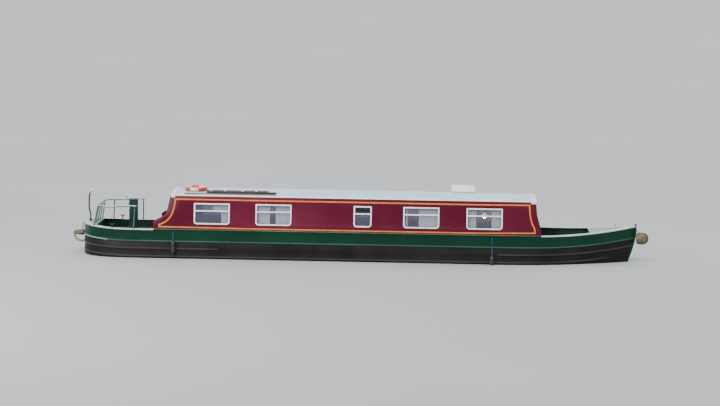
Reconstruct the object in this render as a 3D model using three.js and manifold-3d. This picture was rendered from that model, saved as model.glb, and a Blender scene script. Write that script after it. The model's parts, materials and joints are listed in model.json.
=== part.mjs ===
// Narrowboat with a cruiser stern, afloat and moored: hull, cabin, decks, steering and deck gear.
// Millimetres. +X is the bow, +Y is port, +Z is up. Z = 0 is the underside of the base plate.

import * as THREE from "three";
import { mergeVertices } from "three/addons/utils/BufferGeometryUtils.js";
import Module from "manifold-3d";

const wasm = await Module();
wasm.setup();

// Driving dimensions: hull
const HALF_LENGTH = 7165; // stern plate to stem, half of 47 ft
const HALF_BEAM = 1040; // half of 6 ft 10 in
const DRAUGHT = 500;
const FREEBOARD = 750;
const GUNWALE_Z = DRAUGHT + FREEBOARD;
const PLATE = 30; // side plate with its frames and lining
const BASE_THICK = 12;
const BASE_LIP = 25; // the base plate stands out past the sides
const GAP = 0.3; // between welded neighbours
const STERN_ROUND = 1300; // length of the rounded counter
const STERN_POWER = 2.4; // superellipse power of the counter in plan
const BOW_LENGTH = 3340; // from the end of the straight sides to the stem
const BOW_POWER_TOP = 2;
const BOW_POWER_BASE = 1.65;
const STEM_RAKE = 420;
const STERN_SHEER = 70;
const BOW_SHEER = 190;
const BAND_HIGH = 318; // the coloured band under the gunwale
const CAP_WIDE = 112; // gunwale plate, which is the side deck beside the cabin
const CAP_THICK = 10;
const GUARD_OUT = 16;
const GUARD_HIGH = 34;
const MIDDLE_GUARD_DOWN = 490;
const LOW_GUARD_DOWN = 690;
const AFTER_GUARD_END_X = -3600; // the middle guard runs only along the stern and the bow
const FORE_GUARD_START_X = 3560;

// Driving dimensions: swim, propeller and rudder
const UXTER_Z = 455;
const UXTER_THICK = 15;
const SWIM_START_X = -4300;
const STERN_POST_X = -6560;
const STERN_POST_LONG = 80;
const STERN_POST_HALF = 25;
const SHAFT_Z = 245;
const SHAFT_R = 19;
const PROPELLER_X = -6700;
const PROPELLER_R = 190;
const RUDDER_X = -7030;
const STOCK_R = 20;

// Driving dimensions: cabin
const CABIN_BASE_HALF = 928;
const CABIN_TOP_HALF = 810;
const CABIN_HIGH = 845;
const CABIN_WALL = 46;
const CABIN_AFT_X = -5279; // foot of the swept after end of the cabin side
const CABIN_FORE_X = 4675;
const ROOF_AFT_X = -4830;
const ROOF_FORE_X = 4490;
const ROOF_EDGE_HIGH = 26;
const ROOF_CAMBER = 50;
const ROOF_THICK = 24;
const ROOF_TRIM_LONG = 100; // raised trim at each end of the roof
const GRAB_RAIL_HIGH = 44; // over the top of the cabin sides
const GRAB_RAIL_WIDE = 26;
const ROOF_Z = GUNWALE_Z + CABIN_HIGH;
const WINDOW_LOW = 128;
const WINDOW_HIGH = 546;
const WINDOW_FRAME = 38;
const AFT_BULKHEAD_X = -4790;
const FORE_BULKHEAD_X = 4430;
const BULKHEAD_THICK = 40;
const FLOOR_Z = 190;

// Driving dimensions: decks and wells
const STEERER_DECK_Z = 1050;
const WELL_DECK_Z = 700;
const AFTER_DECK_X = -6790; // fore edge of the small deck over the rudder
const FOREDECK_X = 5925; // after edge of the foredeck
const DECK_THICK = 25;
const LINING = 14;
const FAR = 9000; // past the whole boat, for cutting boxes

const finish = (color, roughness, metalness = 0) => ({ color, roughness, metalness });
const FINISHES = {
  hullBlack: finish(0x35302f, 0.7),
  bandGreen: finish(0x1f5a48, 0.4),
  liningGreen: finish(0x163c30, 0.5),
  cabinMaroon: finish(0x6b2438, 0.35),
  roofPale: finish(0xc3cfcc, 0.6),
  deckPale: finish(0xb9cbc0, 0.6),
  deckBrown: finish(0x6d5038, 0.8),
  doorMaroon: finish(0x7a2c3c, 0.4),
  frameWhite: finish(0xeeeeea, 0.35),
  railGreen: finish(0xa9c2b0, 0.4),
  bronze: finish(0x9a7440, 0.35, 0.9),
  steelDark: finish(0x4a4a48, 0.5, 0.8),
  engineGrey: finish(0x6c7278, 0.5, 0.3),
  rope: finish(0x8d7a5c, 0.95),
  rubber: finish(0x1d1d1f, 0.6),
  lanyardBlue: finish(0x2f5c9c, 0.9),
  lifebuoyRed: finish(0xd6452c, 0.6),
  plankWood: finish(0x7b6265, 0.8),
  lace: finish(0xf1efe9, 0.95),
};

const boat = new THREE.Group();

function addNode(name, geometry, finishName) {
  const material = new THREE.MeshStandardMaterial(FINISHES[finishName]);
  const mesh = new THREE.Mesh(geometry, material);
  mesh.name = name;
  boat.add(mesh);
  return mesh;
}

// Solid helpers
function merged(geometry) {
  const bare = geometry.clone();
  for (const key of Object.keys(bare.attributes)) {
    if (key !== "position") bare.deleteAttribute(key);
  }
  return mergeVertices(bare, 1e-3);
}

function solid(geometry) {
  const welded = merged(geometry);
  const vertProperties = new Float32Array(welded.attributes.position.array);
  const triVerts = new Uint32Array(welded.index.array);
  return new wasm.Manifold(new wasm.Mesh({ numProp: 3, vertProperties, triVerts }));
}

function geometryOf(manifold) {
  const mesh = manifold.getMesh();
  const geometry = new THREE.BufferGeometry();
  const points = new Float32Array(mesh.vertProperties);
  geometry.setAttribute("position", new THREE.BufferAttribute(points, 3));
  geometry.setIndex(new THREE.BufferAttribute(new Uint32Array(mesh.triVerts), 1));
  geometry.computeVertexNormals();
  return geometry;
}

function union(solids) {
  return solids.reduce((total, next) => total.add(next));
}

function boxGeometry(x0, x1, y0, y1, z0, z1) {
  const geometry = new THREE.BoxGeometry(x1 - x0, y1 - y0, z1 - z0);
  return geometry.translate((x0 + x1) / 2, (y0 + y1) / 2, (z0 + z1) / 2);
}

function box(x0, x1, y0, y1, z0, z1) {
  return solid(boxGeometry(x0, x1, y0, y1, z0, z1));
}

// A round bar between two points
function barGeometry(from, to, radius, sides = 12) {
  const start = new THREE.Vector3(...from);
  const along = new THREE.Vector3(...to).sub(start);
  const geometry = new THREE.CylinderGeometry(radius, radius, along.length(), sides);
  const turn = new THREE.Quaternion();
  turn.setFromUnitVectors(new THREE.Vector3(0, 1, 0), along.clone().normalize());
  geometry.applyQuaternion(turn);
  const middle = start.addScaledVector(along, 0.5);
  return geometry.translate(middle.x, middle.y, middle.z);
}

// A tube along a smooth curve through the points
function tubeGeometry(points, radius, steps, sides = 10) {
  const curve = new THREE.CatmullRomCurve3(points.map((p) => new THREE.Vector3(...p)));
  const section = new THREE.Shape();
  section.absarc(0, 0, radius, 0, Math.PI * 2);
  const options = { steps, curveSegments: sides / 2, extrudePath: curve };
  return new THREE.ExtrudeGeometry(section, options);
}

// A flat shape pushed out along Z by its thickness
function pushedOut(shape, depth, curveSegments = 1) {
  return new THREE.ExtrudeGeometry(shape, { depth, bevelEnabled: false, curveSegments });
}

// A closed solid through matching sections, each a list of [x, y, z] points
function loftGeometry(sections) {
  const count = sections[0].length;
  const positions = sections.flat(2);
  const index = [];
  for (let s = 0; s + 1 < sections.length; s += 1) {
    for (let i = 0; i < count; i += 1) {
      const a = s * count + i;
      const b = s * count + ((i + 1) % count);
      index.push(a, b, b + count, a, b + count, a + count);
    }
  }
  const last = (sections.length - 1) * count;
  for (const [a, b, c] of capTriangles(sections[0])) index.push(c, b, a);
  for (const [a, b, c] of capTriangles(sections.at(-1))) {
    index.push(last + a, last + b, last + c);
  }
  const geometry = new THREE.BufferGeometry();
  geometry.setAttribute("position", new THREE.Float32BufferAttribute(positions, 3));
  geometry.setIndex(index);
  return outward(geometry);
}

// Ear clipping of one section, seen along its own normal
function capTriangles(section) {
  const normal = new THREE.Vector3();
  section.forEach(([x, y, z], i) => {
    const [nx, ny, nz] = section[(i + 1) % section.length];
    normal.x += (y - ny) * (z + nz);
    normal.y += (z - nz) * (x + nx);
    normal.z += (x - nx) * (y + ny);
  });
  const turn = new THREE.Quaternion();
  turn.setFromUnitVectors(normal.normalize(), new THREE.Vector3(0, 0, 1));
  const flat = section.map((p) => new THREE.Vector3(...p).applyQuaternion(turn));
  const outline = flat.map((p) => new THREE.Vector2(p.x, p.y));
  return THREE.ShapeUtils.triangulateShape(outline, []);
}

function outward(geometry) {
  const p = geometry.attributes.position;
  const index = Array.from(geometry.index.array);
  const corner = (i) => new THREE.Vector3().fromBufferAttribute(p, index[i]);
  let volume = 0;
  for (let i = 0; i < index.length; i += 3) {
    volume += corner(i).dot(corner(i + 1).cross(corner(i + 2)));
  }
  if (volume < 0) {
    for (let i = 0; i < index.length; i += 3) {
      [index[i + 1], index[i + 2]] = [index[i + 2], index[i + 1]];
    }
    geometry.setIndex(index);
  }
  return geometry;
}

// Hull form: half breadth and sheer
const STERN_ROUND_X = -HALF_LENGTH + STERN_ROUND;
const BOW_START_X = HALF_LENGTH - BOW_LENGTH;
const BOW_STEPS = [0, 0.12, 0.24, 0.36, 0.48, 0.6, 0.7, 0.8, 0.88, 0.95, 1];
const STERN_STEPS = 12;
const SWIM_STEPS = 10;
const SWIM_END_HALF = STERN_POST_HALF + 20; // half breadth where the swim meets the stern post

function sheer(x) {
  const aft = Math.max(0, (STERN_ROUND_X - x) / STERN_ROUND);
  const fore = Math.max(0, (x - CABIN_FORE_X) / (HALF_LENGTH - CABIN_FORE_X));
  return STERN_SHEER * aft ** 2 + BOW_SHEER * fore ** 2;
}

const gunwaleZ = (x) => GUNWALE_Z + sheer(x);

// Plan point of the bow at a share of its length and a height, on the port side
function bowPoint(share, z) {
  const low = Math.max(0, 1 - z / GUNWALE_Z);
  const power = BOW_POWER_TOP + (BOW_POWER_BASE - BOW_POWER_TOP) * low;
  const length = BOW_LENGTH - STEM_RAKE * low ** 1.4;
  return [BOW_START_X + share * length, HALF_BEAM * (1 - share ** power)];
}

function sternPoint(turn) {
  const x = STERN_ROUND_X - STERN_ROUND * Math.sin(turn) ** (2 / STERN_POWER);
  const y = HALF_BEAM * Math.max(0, Math.cos(turn)) ** (2 / STERN_POWER);
  return [x, y];
}

function swimPoint(share) {
  const x = SWIM_START_X + share * (STERN_POST_X - SWIM_START_X);
  const fall = share * share * (3 - 2 * share);
  return [x, SWIM_END_HALF + (HALF_BEAM - SWIM_END_HALF) * (1 - fall)];
}

// The port side in plan at a height above the uxter plate, stern to stem
function sideLine(z, fromX = -Infinity, toX = Infinity) {
  const line = [];
  for (let i = STERN_STEPS; i >= 0; i -= 1) {
    line.push(sternPoint((i / STERN_STEPS) * (Math.PI / 2)));
  }
  for (const share of BOW_STEPS) line.push(bowPoint(share, z));
  return clipLine(line, fromX, toX);
}

function swimLine() {
  const line = [];
  for (let i = SWIM_STEPS; i >= 0; i -= 1) line.push(swimPoint(i / SWIM_STEPS));
  return line;
}

// The stretch of a plan line between two stations, with cut ends worked out on the line
function clipLine(line, fromX, toX) {
  const inside = line.filter(([x]) => x > fromX && x < toX);
  if (line[0][0] < fromX) inside.unshift([fromX, breadthAt(line, fromX)]);
  if (line.at(-1)[0] > toX) inside.push([toX, breadthAt(line, toX)]);
  return inside;
}

function breadthAt(line, x) {
  const i = line.findIndex((p) => p[0] >= x);
  const [x0, y0] = line[i - 1];
  const [x1, y1] = line[i];
  return y0 + ((y1 - y0) * (x - x0)) / (x1 - x0);
}

// The line moved inwards, square to itself in plan
function inset(line, distance) {
  return line.map(([x, y], i) => {
    const [ax, ay] = line[Math.max(0, i - 1)];
    const [bx, by] = line[Math.min(line.length - 1, i + 1)];
    const long = Math.hypot(bx - ax, by - ay);
    return [x + ((by - ay) / long) * distance, y - ((bx - ax) / long) * distance];
  });
}

// A wall that follows plan lines: profile rows are [inset, height function of x]
function wall(lineAt, profile) {
  const rows = profile.map(([distance, heightOf, line]) => {
    const source = line ?? lineAt;
    return inset(source, distance).map(([x, y], i) => [x, y, heightOf(source[i][0])]);
  });
  return solid(loftGeometry(rows[0].map((_, i) => rows.map((row) => row[i]))));
}

const mirrored = (manifold) => manifold.mirror([0, 1, 0]);

const HULL_FOOT_Z = BASE_THICK + GAP;
const TURN_Z = UXTER_Z + 200; // where the flare of the bow changes

// The space inside the hull sides, at a distance in from their outer faces, under the gunwale plate
function hullRoom(distance) {
  const levels = [
    [HULL_FOOT_Z, () => HULL_FOOT_Z],
    [TURN_Z, () => TURN_Z],
    [GUNWALE_Z - BAND_HIGH, (x) => gunwaleZ(x) - BAND_HIGH],
    [GUNWALE_Z, (x) => gunwaleZ(x) - CAP_THICK - 4],
  ];
  const rows = levels.map(([z, heightOf]) => {
    const source = sideLine(z);
    return inset(source, distance).map(([x, y], i) => [x, Math.max(y, 0), heightOf(source[i][0])]);
  });
  const sections = rows[0].map((_, i) => {
    const outer = rows.map((row) => row[i]).reverse();
    const inner = outer.map(([x, , z]) => [x, -1, z]).reverse();
    return [...outer, ...inner];
  });
  const port = solid(loftGeometry(sections));
  return port.add(mirrored(port));
}

const ROOM_GAP = 1.2; // the twisted plates of the bow and their linings keep this apart
const plateRoom = hullRoom(PLATE + ROOM_GAP);
const liningRoom = hullRoom(PLATE + ROOM_GAP + LINING);
const deckRoom = hullRoom(PLATE + 2 * ROOM_GAP + LINING);
const portHalf = box(-FAR, FAR, GAP / 2, FAR, -FAR, FAR);

function addBothSides(name, portSolid, finishName) {
  addNode(`${name}_port`, geometryOf(portSolid), finishName);
  addNode(`${name}_starboard`, geometryOf(mirrored(portSolid)), finishName);
}

// Stem post: a raked bar from the base plate to the top of the stem, and the room cut for it
const STEM_HALF = 18;
const STEM_DEEP = 55;
const STEM_TOP = GUNWALE_Z + BOW_SHEER + 45;

function stemBar(back, front, half, foot, top) {
  const rows = [foot, 250, 500, 750, 1000, GUNWALE_Z, top].map((z) => {
    const [x] = bowPoint(1, Math.min(z, GUNWALE_Z));
    return [
      [x - back, -half, z],
      [x + front, -half, z],
      [x + front, half, z],
      [x - back, half, z],
    ];
  });
  return solid(loftGeometry(rows));
}

const stem = stemBar(STEM_DEEP, -4, STEM_HALF, HULL_FOOT_Z, STEM_TOP);
const stemRoom = stemBar(STEM_DEEP + GAP, 60, STEM_HALF + GAP, 0, STEM_TOP + 45);

// Hull sides: plates with the middle and low guards, below the coloured band
function hullSide() {
  const bandFoot = (x) => gunwaleZ(x) - BAND_HIGH - GAP;
  const foot = () => HULL_FOOT_Z;
  const turn = () => TURN_Z;
  const fromSwim = SWIM_START_X - 5;
  const baseLine = sideLine(HULL_FOOT_Z, fromSwim);
  const lowLine = sideLine(TURN_Z, fromSwim);
  const topLine = sideLine(GUNWALE_Z - BAND_HIGH, fromSwim);
  const fore = wall(topLine, [
    [0, foot, baseLine],
    [0, turn, lowLine],
    [0, bandFoot],
    [PLATE, bandFoot],
    [PLATE, turn, lowLine],
    [PLATE, foot, baseLine],
  ]);
  const counterLine = sideLine(GUNWALE_Z, -Infinity, SWIM_START_X);
  const counter = wall(counterLine, [
    [0, () => UXTER_Z],
    [0, bandFoot],
    [PLATE, bandFoot],
    [PLATE, () => UXTER_Z],
  ]);
  const swim = wall(swimLine(), [
    [0, foot],
    [0, () => UXTER_Z - GAP],
    [PLATE, () => UXTER_Z - GAP],
    [PLATE, foot],
  ]);
  const guards = [
    guard(LOW_GUARD_DOWN),
    guard(MIDDLE_GUARD_DOWN, -Infinity, AFTER_GUARD_END_X),
    guard(MIDDLE_GUARD_DOWN, FORE_GUARD_START_X, Infinity),
  ];
  const plates = union([fore, counter, swim, ...guards]);
  return plates.subtract(stemRoom).subtract(sternPostRoom).intersect(portHalf);
}

// A rubbing guard along the side, at a depth under the gunwale
function guard(down, fromX, toX) {
  const line = sideLine(GUNWALE_Z - down, fromX, toX);
  const foot = (x) => gunwaleZ(x) - down - GUARD_HIGH / 2;
  return wall(line, [
    [-GUARD_OUT, foot],
    [-GUARD_OUT, (x) => foot(x) + GUARD_HIGH],
    [6, (x) => foot(x) + GUARD_HIGH + 8],
    [6, (x) => foot(x) - 8],
  ]);
}

// Top strake: the coloured band, its light guard and the gunwale plate that is the side deck
function topStrake() {
  const foot = (x) => gunwaleZ(x) - BAND_HIGH;
  const topLine = sideLine(GUNWALE_Z);
  const footLine = sideLine(GUNWALE_Z - BAND_HIGH);
  const band = wall(topLine, [
    [0, foot, footLine],
    [0, gunwaleZ],
    [CAP_WIDE, gunwaleZ],
    [CAP_WIDE, (x) => gunwaleZ(x) - CAP_THICK],
    [PLATE, (x) => gunwaleZ(x) - CAP_THICK],
    [PLATE, foot, footLine],
  ]);
  const lowEdge = wall(footLine, [
    [-GUARD_OUT, foot],
    [-GUARD_OUT, (x) => foot(x) + GUARD_HIGH],
    [6, (x) => foot(x) + GUARD_HIGH + 8],
    [6, foot],
  ]);
  const lip = wall(topLine, [
    [-10, (x) => gunwaleZ(x) - 26],
    [-10, gunwaleZ],
    [6, gunwaleZ],
    [6, (x) => gunwaleZ(x) - 30],
  ]);
  const shell = union([band, lowEdge, lip]);
  return shell.subtract(stemRoom).subtract(stockHole()).intersect(portHalf);
}

// The hole for the rudder stock through the steel of the stern
function stockHole() {
  return solid(barGeometry([RUDDER_X, 0, 1000], [RUDDER_X, 0, 1500], STOCK_R + 6, 20));
}

// Stern post with the bored boss of the propeller shaft
const postAft = STERN_POST_X - STERN_POST_LONG / 2;
const postFore = STERN_POST_X + STERN_POST_LONG / 2;
const postRoomHalf = STERN_POST_HALF + GAP;
const sternPostRoom = box(postAft - 50, postFore + GAP, -postRoomHalf, postRoomHalf, 0, UXTER_Z);

function sternPost() {
  const half = STERN_POST_HALF;
  const post = box(postAft, postFore, -half, half, HULL_FOOT_Z, UXTER_Z - GAP);
  const boss = solid(barGeometry([postAft - 25, 0, SHAFT_Z], [postAft + 20, 0, SHAFT_Z], 42, 24));
  const bore = solid(barGeometry([postAft - 60, 0, SHAFT_Z], [postFore + 60, 0, SHAFT_Z], SHAFT_R + 3, 20));
  return union([post, boss]).subtract(bore);
}

const SKEG_HALF = 38;

// Base plate in plan, with the skeg that carries the foot of the rudder
function basePlate() {
  const swim = inset(swimLine(), -BASE_LIP);
  const sides = inset(sideLine(0, SWIM_START_X), -BASE_LIP);
  const port = [...swim, ...sides.slice(1)].filter(([, y]) => y > 0);
  const outline = [...port, ...port.map(([x, y]) => [x, -y]).reverse()];
  const plate = flatPlate(outline, 0, BASE_THICK);
  const skeg = box(RUDDER_X - 60, postAft - GAP, -SKEG_HALF, SKEG_HALF, 0, 30);
  const strip = box(postAft - 5, postFore, -SKEG_HALF, SKEG_HALF, 0, BASE_THICK);
  const cup = solid(barGeometry([RUDDER_X, 0, 2], [RUDDER_X, 0, 54], 46, 24));
  const cupBore = solid(barGeometry([RUDDER_X, 0, 24], [RUDDER_X, 0, 80], STOCK_R + 3, 24));
  const heel = union([plate, skeg, strip, cup]);
  const postFoot = box(postAft - GAP, postFore + GAP, -26, 26, BASE_THICK, 40);
  return heel.subtract(cupBore).subtract(postFoot);
}

function flatPlate(outline, z0, thick) {
  const shape = new THREE.Shape(outline.map(([x, y]) => new THREE.Vector2(x, y)));
  return solid(pushedOut(shape, thick).translate(0, 0, z0));
}

// A plate between the two inner faces of the hull, flat or following the sheer
function deckPlate(distance, x0, x1, topOf, thick) {
  const line = clipLine(inset(sideLine(GUNWALE_Z), distance), x0, x1);
  const rows = line.map(([x, y]) => {
    const top = topOf(x);
    const half = Math.max(y, 1);
    return [
      [x, -half, top - thick],
      [x, half, top - thick],
      [x, half, top],
      [x, -half, top],
    ];
  });
  return solid(loftGeometry(rows));
}

// The uxter plate closes the counter over the propeller; the rudder tube stands on it
function uxterPlate() {
  const inner = PLATE + GAP;
  const x0 = -HALF_LENGTH + inner + 1;
  const x1 = SWIM_START_X - 120;
  const plate = deckPlate(inner, x0, x1, () => UXTER_Z + UXTER_THICK, UXTER_THICK);
  const swim = inset(swimLine(), PLATE).filter(([, y]) => y > 20);
  const outline = [...swim, ...swim.map(([x, y]) => [x, -y]).reverse()];
  const swimRoom = flatPlate(outline, UXTER_Z - 50, 200);
  const top = gunwaleZ(RUDDER_X) - CAP_THICK - GAP - 8;
  const tube = solid(barGeometry([RUDDER_X, 0, UXTER_Z], [RUDDER_X, 0, top], 38, 20));
  const under = [RUDDER_X, 0, UXTER_Z - 50];
  const bore = solid(barGeometry(under, [RUDDER_X, 0, top + 50], STOCK_R + 5, 20));
  return plate.subtract(swimRoom).add(tube).subtract(bore);
}

// Decks
function afterDeck() {
  const inner = CAP_WIDE + GAP;
  const plate = deckPlate(inner, -HALF_LENGTH + inner + 1, AFTER_DECK_X, gunwaleZ, CAP_THICK);
  return plate.subtract(stockHole());
}

function foreDeck() {
  const inner = CAP_WIDE + GAP;
  const deck = deckPlate(inner, FOREDECK_X, HALF_LENGTH - 330, gunwaleZ, CAP_THICK);
  const x = HALF_LENGTH - 560;
  const z = gunwaleZ(x);
  const stud = solid(barGeometry([x, 0, z - 8], [x, 0, z + 150], 22, 16));
  const bar = solid(barGeometry([x, -110, z + 120], [x, 110, z + 120], 15, 12));
  return union([deck, stud, bar]);
}

function lowDeck(x0, x1, top) {
  return box(x0, x1, -HALF_BEAM, HALF_BEAM, top - DECK_THICK, top).intersect(deckRoom);
}

// The painted lining of a well: both bulwarks and the panel across its end
function wellLining(x0, x1, foot, acrossX) {
  const well = box(x0, x1, -HALF_BEAM, HALF_BEAM, foot, 2000);
  const bulwarks = plateRoom.subtract(liningRoom).intersect(well);
  const panel = box(acrossX, acrossX + LINING, -HALF_BEAM, HALF_BEAM, foot, 2000);
  return bulwarks.add(panel.intersect(plateRoom));
}

// Cabin sides: flat panels that lean in, with swept ends and cut windows
const LEAN = Math.atan2(CABIN_BASE_HALF - CABIN_TOP_HALF, CABIN_HIGH);
const SLOPE = CABIN_HIGH / Math.cos(LEAN);

// Columns: centre along X, overall width of the frame
const WINDOWS = [
  [-3777, 922],
  [-2192, 922],
  [93, 464],
  [1593, 922],
  [3210, 922],
];

function roundedRect(target, x0, x1, y0, y1, topR, footR) {
  target.moveTo(x0 + footR, y0);
  target.lineTo(x1 - footR, y0);
  target.absarc(x1 - footR, y0 + footR, footR, -Math.PI / 2, 0);
  target.lineTo(x1, y1 - topR);
  target.absarc(x1 - topR, y1 - topR, topR, 0, Math.PI / 2);
  target.lineTo(x0 + topR, y1);
  target.absarc(x0 + topR, y1 - topR, topR, Math.PI / 2, Math.PI);
  target.lineTo(x0, y0 + footR);
  target.absarc(x0 + footR, y0 + footR, footR, Math.PI, Math.PI * 1.5);
  return target;
}

function rectangle(target, x0, x1, y0, y1) {
  target.moveTo(x0, y0);
  target.lineTo(x1, y0);
  target.lineTo(x1, y1);
  target.lineTo(x0, y1);
  return target;
}

// Lean a panel drawn flat in X and height, with its outer face at depth 0, onto the starboard side
function leanStarboard(geometry, outwards) {
  geometry.rotateX(Math.PI / 2 - LEAN);
  return geometry.translate(0, -CABIN_BASE_HALF - outwards, GUNWALE_Z + GAP);
}

function panelGeometry(shape, thick, outwards = 0) {
  return leanStarboard(pushedOut(shape, thick).translate(0, 0, -thick), outwards);
}

function cabinSide() {
  const aft = ROOF_AFT_X;
  const shape = new THREE.Shape();
  shape.moveTo(CABIN_AFT_X, -10);
  shape.lineTo(CABIN_FORE_X, -10);
  shape.lineTo(CABIN_FORE_X - 30, 180);
  shape.lineTo(ROOF_FORE_X + 55, SLOPE - 300);
  shape.lineTo(ROOF_FORE_X + 30, SLOPE);
  shape.lineTo(aft - 18, SLOPE);
  shape.quadraticCurveTo(aft - 30, SLOPE - 228, aft - 125, SLOPE - 478);
  shape.quadraticCurveTo(aft - 200, SLOPE - 638, CABIN_AFT_X, SLOPE - 660);
  for (const [centre, wide] of WINDOWS) {
    const hole = new THREE.Path();
    const x0 = centre - wide / 2 + WINDOW_FRAME / 2;
    const low = WINDOW_LOW + WINDOW_FRAME / 2;
    const high = WINDOW_LOW + WINDOW_HIGH - WINDOW_FRAME / 2;
    roundedRect(hole, x0, x0 + wide - WINDOW_FRAME, low, high, 20, 75);
    shape.holes.push(hole);
  }
  const foot = GUNWALE_Z + 4 * GAP;
  const aboveDeck = box(-HALF_LENGTH, HALF_LENGTH, -HALF_BEAM, 0, foot, ROOF_Z + 100);
  return solid(panelGeometry(shape, CABIN_WALL)).intersect(aboveDeck);
}

// One window: a flange outside the wall, a sleeve through it and the pane with its glazing bar
function windowUnit(centre, wide) {
  const x0 = centre - wide / 2;
  const x1 = centre + wide / 2;
  const z0 = WINDOW_LOW;
  const z1 = WINDOW_LOW + WINDOW_HIGH;
  const flange = roundedRect(new THREE.Shape(), x0, x1, z0, z1, 25, 90);
  const inner = WINDOW_FRAME;
  const hole = roundedRect(new THREE.Path(), x0 + inner, x1 - inner, z0 + inner, z1 - inner, 12, 60);
  flange.holes.push(hole);
  const half = WINDOW_FRAME / 2 + GAP;
  const sleeve = roundedRect(new THREE.Shape(), x0 + half, x1 - half, z0 + half, z1 - half, 20, 75);
  sleeve.holes.push(hole);
  const pane = roundedRect(new THREE.Shape(), x0 + 30, x1 - 30, z0 + 30, z1 - 30, 12, 60);
  const barZ = z0 + WINDOW_HIGH * 0.648;
  const bar = rectangle(new THREE.Shape(), x0 + 30, x1 - 30, barZ, barZ + 26);
  const solids = [
    solid(panelGeometry(flange, 12, 12 + GAP)),
    solid(panelGeometry(sleeve, 30, 2)),
    solid(panelGeometry(pane, 6, -4)),
    solid(panelGeometry(bar, 22, 10)),
  ];
  return union(solids);
}

const HATCH = { x0: 2365, x1: 2965, y0: 520, y1: 755 };
const HATCH_WALL = 26;
const HATCH_OPEN = 38;
const HATCH_RISE = 16;

// Columns: X and Y of each roof vent
const VENTS = [
  [2550, -50],
  [3970, -490],
];

// Roof: a cambered shell with a raised trim at each end
function roofSection(lift) {
  const half = CABIN_TOP_HALF + lift;
  const top = ROOF_EDGE_HIGH + lift;
  const shape = new THREE.Shape();
  shape.moveTo(-half - 6, 0);
  shape.lineTo(-half, top - 14);
  shape.lineTo(-half + 14, top);
  for (let i = 1; i < 12; i += 1) shape.lineTo(...camber(i, half - 14, top));
  shape.lineTo(half - 14, top);
  shape.lineTo(half, top - 14);
  shape.lineTo(half + 6, 0);
  return shape;
}

function camber(i, half, top) {
  const across = -half + (2 * half * i) / 12;
  return [across, top + ROOF_CAMBER * (1 - (across / half) ** 2)];
}

// A section drawn across the boat, pushed out along it
function alongX(shape, x0, x1, foot) {
  const geometry = pushedOut(shape, x1 - x0).rotateX(Math.PI / 2).rotateZ(Math.PI / 2);
  return solid(geometry.translate(x0, 0, foot));
}

function roof() {
  const foot = ROOF_Z + 2 * GAP;
  const shell = alongX(roofSection(0), ROOF_AFT_X, ROOF_FORE_X, foot);
  const under = new THREE.Shape();
  const half = CABIN_TOP_HALF - 40;
  const underZ = ROOF_EDGE_HIGH - ROOF_THICK;
  under.moveTo(-half, -200);
  under.lineTo(-half, underZ);
  for (let i = 1; i < 12; i += 1) under.lineTo(...camber(i, half, underZ));
  under.lineTo(half, underZ);
  under.lineTo(half, -200);
  const room = alongX(under, ROOF_AFT_X + 40, ROOF_FORE_X - 40, foot);
  const trim = roofSection(8);
  const ends = [
    alongX(trim, ROOF_AFT_X - 2, ROOF_AFT_X + ROOF_TRIM_LONG, foot),
    alongX(trim, ROOF_FORE_X - ROOF_TRIM_LONG, ROOF_FORE_X + 2, foot),
  ];
  const rails = [-1, 1].map((side) => grabRail(side));
  const vents = VENTS.map(([x, y]) => roofVent(x, y));
  const { x0, x1, y0, y1 } = HATCH;
  const wall = HATCH_WALL;
  const opening = box(x0 + wall, x1 - wall, y0 + wall, y1 - wall, ROOF_Z - 100, ROOF_Z + 300);
  const whole = union([shell, ...ends]).subtract(room);
  return union([whole, ...rails, ...vents]).subtract(opening);
}

function roofTopAt(y) {
  const half = CABIN_TOP_HALF - 14;
  return ROOF_Z + 2 * GAP + ROOF_EDGE_HIGH + ROOF_CAMBER * (1 - (y / half) ** 2);
}

// Grab rail along the roof edge, a low bar on a continuous foot, swept down at its ends
function grabRail(side) {
  const y = side * (CABIN_TOP_HALF - 17 - GRAB_RAIL_WIDE / 2);
  const foot = roofTopAt(y) - 6;
  const top = ROOF_Z + GRAB_RAIL_HIGH;
  const x0 = ROOF_AFT_X + 330;
  const x1 = ROOF_FORE_X - 620;
  const shape = new THREE.Shape();
  shape.moveTo(x0, foot);
  shape.lineTo(x1, foot);
  shape.lineTo(x1 - 90, top);
  shape.lineTo(x0 + 90, top);
  const geometry = pushedOut(shape, GRAB_RAIL_WIDE).rotateX(Math.PI / 2);
  return solid(geometry.translate(0, y + GRAB_RAIL_WIDE / 2, 0));
}

function roofVent(x, y) {
  const foot = roofTopAt(y) - 6;
  const neck = solid(barGeometry([x, y, foot], [x, y, foot + 34], 30, 20));
  const cap = new THREE.CylinderGeometry(26, 52, 22, 24).rotateX(Math.PI / 2);
  return union([neck, solid(cap.translate(x, y, foot + 42))]);
}

// Bulkheads: upright panels across the cabin, each with a doorway
const DOORWAY_HALF = 322;
const DOORWAY_TOP = ROOF_Z - 40;
const DOOR_CLEAR = 5;
const STERN_SILL_Z = STEERER_DECK_Z + 50;
const BOW_SILL_Z = WELL_DECK_Z + 60;

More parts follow.
